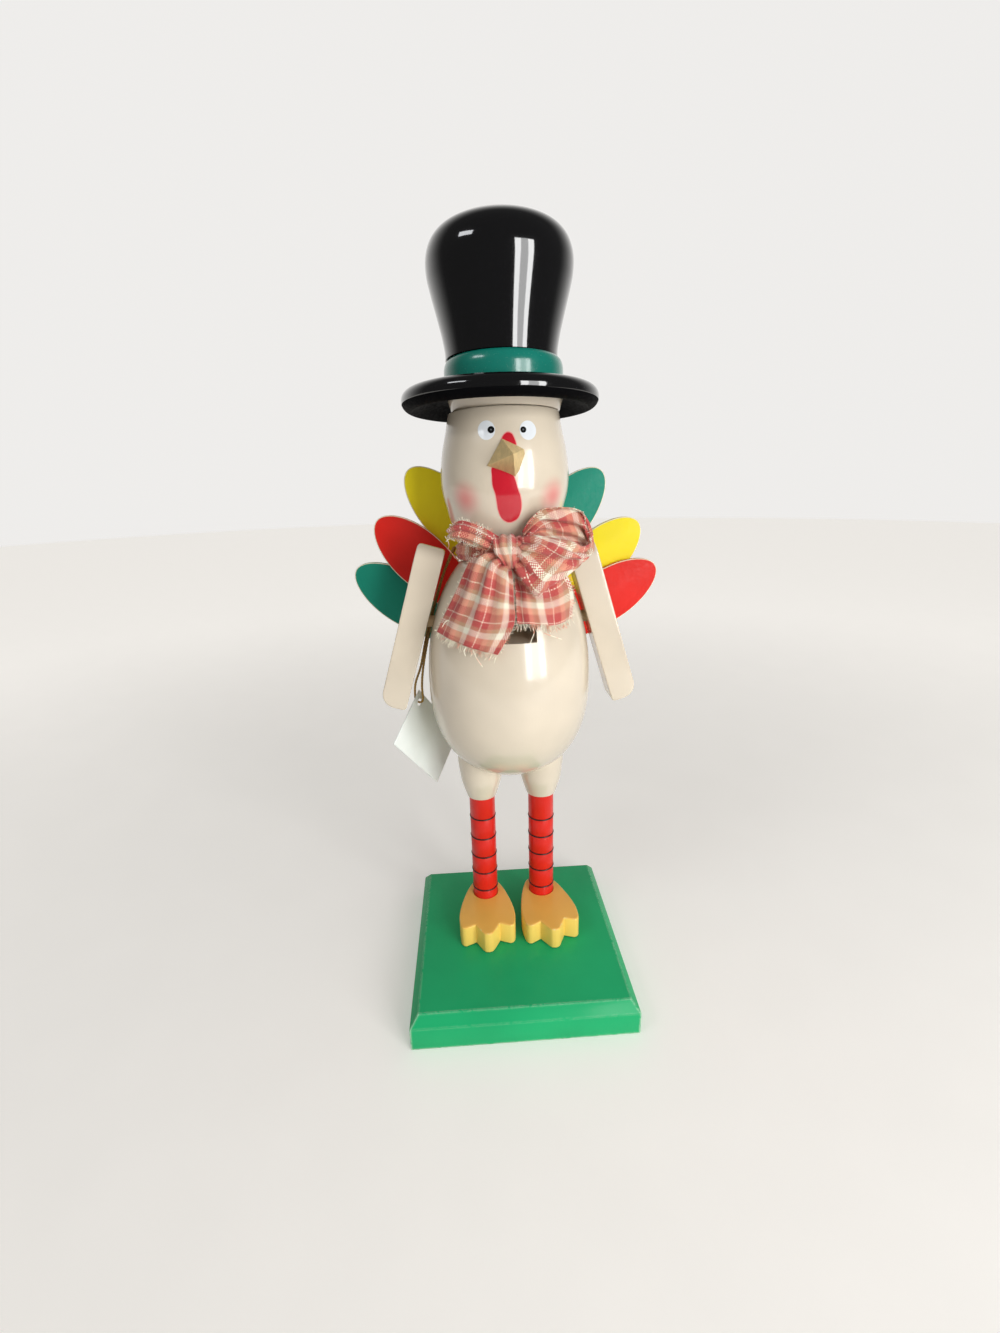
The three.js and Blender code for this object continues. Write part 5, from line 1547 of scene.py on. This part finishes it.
class TURKEY_OT_studio(TurkeyPiece, bpy.types.Operator):
    """Camera, lamps, even light and a pale floor"""
    bl_idname = "turkey.studio"
    bl_label = "Studio"

    EYE = (-16.0, -220.6, 214.1)
    YAW, PITCH, ROLL = 0.05177, 0.29304, -0.02639
    FOCAL_PIXELS, FRAME_HEIGHT = 554.08, 1333

    # name, share of the light, width and place of each part of the window
    WINDOW = [("Window Right Edge", 0.38, 0.12, (0.565, -0.594, 0.27)),
              ("Window Left Edge", 0.38, 0.12, (0.325, -0.752, 0.27)),
              ("Window Middle", 0.24, 0.17, (0.445, -0.673, 0.27))]
    WINDOW_HEIGHT = 0.52
    FILL_SIZE, FILL_PLACE, FILL_COLOUR = (0.3, 0.12), (-0.6, -0.4, 0.75), (0.95, 0.97, 1.0)
    AIM_HEIGHT = 0.16
    FLOOR_REACH, FLOOR_MIDDLE = 3.2, 2.75
    # two distances from the figure, and how much the floor glows at each
    FLOOR_GLOW = (0.05, 1.0, 0.3, 0.6)
    BRIGHT_SIDE, SKY_RANGE, SKY_COLOUR = (0.45, -0.75, 0.48), (0.2, 1.8), (1.0, 0.985, 0.965, 1.0)
    # how far a reflection looks back where the room ends and where the backdrop begins
    ROOM_ENDS = (0.1, 0.8)

    def lamp(self, name, power, size, place, aim, colour=(1, 1, 1)):
        """A flat lamp at a place, in metres, that looks at the aim."""
        light = bpy.data.lights.new(name, "AREA")
        light.energy = power
        light.color = colour
        light.shape = "RECTANGLE"
        light.size, light.size_y = size
        holder = bpy.data.objects.new(name, light)
        bpy.context.scene.collection.objects.link(holder)
        holder.location = place
        holder.rotation_euler = (Vector(aim) - Vector(place)).to_track_quat("-Z", "Y").to_euler()

    def seen(self, tree):
        """1 for rays that see the background, directly or in something shiny or clear; 0 for its light."""
        path = add(tree, "ShaderNodeLightPath").outputs
        mirrored = math_value(tree, "MAXIMUM", path["Is Glossy Ray"], path["Is Transmission Ray"])
        return math_value(tree, "MAXIMUM", path["Is Camera Ray"], mirrored)

    def camera(self, scene):
        """The camera that the photograph was fitted to."""
        camera = bpy.data.cameras.new("Camera")
        camera.sensor_width = 36
        camera.lens = self.FOCAL_PIXELS * camera.sensor_width / self.FRAME_HEIGHT
        camera.clip_start = 0.01
        holder = bpy.data.objects.new("Camera", camera)
        scene.collection.objects.link(holder)
        world_to_camera = (Matrix.Rotation(self.ROLL, 3, "Y") @ Matrix.Rotation(self.PITCH, 3, "X")
                           @ Matrix.Rotation(self.YAW, 3, "Z"))
        turn = world_to_camera.transposed() @ Matrix.Rotation(math.pi / 2, 3, "X")
        holder.matrix_world = Matrix.Translation(Vector(self.EYE) * MM) @ turn.to_4x4()
        scene.camera = holder

    def floor(self, studio):
        """A round floor that glows a little where it is seen, more towards the backdrop."""
        floor = bpy.data.meshes.new("Floor")
        angles = [2 * math.pi * i / studio.sides for i in range(studio.sides)]
        ring = [(self.FLOOR_REACH * math.cos(a), self.FLOOR_MIDDLE + self.FLOOR_REACH * math.sin(a), 0) for a in angles]
        floor.from_pydata(ring, [], [tuple(range(studio.sides))])
        material, tree, shader = new_material("Pale Floor")
        place = object_coordinates(tree)
        tone = mix_colour(tree, noise_value(tree, place, 30.0, 3.0), rgba(studio.floor, 0.97),
                          rgba(studio.floor, 1.02))
        away = add(tree, "ShaderNodeVectorMath", {0: place}, operation="LENGTH").outputs["Value"]
        glow = range_value(tree, away, *self.FLOOR_GLOW, smooth=True)
        tree.links.new(tone, shader.inputs["Base Color"])
        tree.links.new(tone, shader.inputs["Emission Color"])
        tree.links.new(math_value(tree, "MULTIPLY", self.seen(tree), glow), shader.inputs["Emission Strength"])
        shader.inputs["Roughness"].default_value = 0.85
        return new_object("Floor", floor, material)

    def world(self, scene, studio):
        """Even light, stronger on the bright side; a backdrop; and a dark room in front, for shiny things."""
        scene.world = scene.world or bpy.data.worlds.new("World")
        scene.world.use_nodes = True
        tree = scene.world.node_tree
        background = tree.nodes["Background"]
        way = add(tree, "ShaderNodeTexCoord").outputs["Generated"]
        behind = add(tree, "ShaderNodeSeparateXYZ", {0: way}).outputs["Y"]
        mirrored = range_value(tree, behind, *self.ROOM_ENDS, studio.room, studio.backdrop, smooth=True)
        path = add(tree, "ShaderNodeLightPath").outputs
        shown = range_value(tree, path["Is Camera Ray"], 0.0, 1.0, mirrored, studio.backdrop)
        facing = add(tree, "ShaderNodeVectorMath", {0: way, 1: Vector(self.BRIGHT_SIDE).normalized()},
                     operation="DOT_PRODUCT").outputs["Value"]
        dark, bright = self.SKY_RANGE
        lit = range_value(tree, facing, -1.0, 1.0, dark * studio.sky, bright * studio.sky)
        strength = range_value(tree, self.seen(tree), 0.0, 1.0, lit, shown)
        tree.links.new(strength, background.inputs["Strength"])
        background.inputs["Color"].default_value = self.SKY_COLOUR

    def execute(self, context):
        scene, studio = context.scene, context.scene.turkey_studio
        self.camera(scene)
        aim = (0, AXIS_Y * MM, self.AIM_HEIGHT)
        for name, share, width, place in self.WINDOW:
            self.lamp(name, studio.key_power * share, (width, self.WINDOW_HEIGHT), place, aim)
        self.lamp("Fill", studio.fill_power, self.FILL_SIZE, self.FILL_PLACE, aim, self.FILL_COLOUR)
        self.floor(studio)
        self.world(scene, studio)
        scene.view_settings.view_transform = "Standard"
        return {"FINISHED"}


STEPS = [TURKEY_OT_studio, TURKEY_OT_legs, TURKEY_OT_base, TURKEY_OT_feet, TURKEY_OT_body, TURKEY_OT_lever,
         TURKEY_OT_head, TURKEY_OT_beak, TURKEY_OT_hat, TURKEY_OT_arms, TURKEY_OT_feathers, TURKEY_OT_hardware,
         TURKEY_OT_bow, TURKEY_OT_tag]


class TURKEY_PT_panel(bpy.types.Panel):
    """Sizes, colours and steps of the figure"""
    bl_label = "Turkey Nutcracker"
    bl_space_type = "VIEW_3D"
    bl_region_type = "UI"
    bl_category = "Turkey"

    def draw(self, context):
        for group in GROUPS:
            values = getattr(context.scene, group)
            for key in values.bl_rna.properties.keys():
                if key not in ("rna_type", "name"):
                    self.layout.prop(values, key)
        for step in STEPS:
            self.layout.operator(step.bl_idname)


GROUPS = {"turkey_paints": TurkeyPaints, "turkey_cloth": TurkeyCloth, "turkey_tag": TurkeyTag,
          "turkey_studio": TurkeyStudio}
CLASSES = [*GROUPS.values(), *STEPS, TURKEY_PT_panel]


def register():
    for item in CLASSES:
        bpy.utils.register_class(item)
    for name, group in GROUPS.items():
        setattr(bpy.types.Scene, name, PointerProperty(type=group))


def unregister():
    for name in GROUPS:
        delattr(bpy.types.Scene, name)
    for item in reversed(CLASSES):
        bpy.utils.unregister_class(item)


def main():
    register()
    for step in STEPS:
        getattr(bpy.ops.turkey, step.bl_idname.split(".")[1])()


if __name__ == "__main__":
    main()
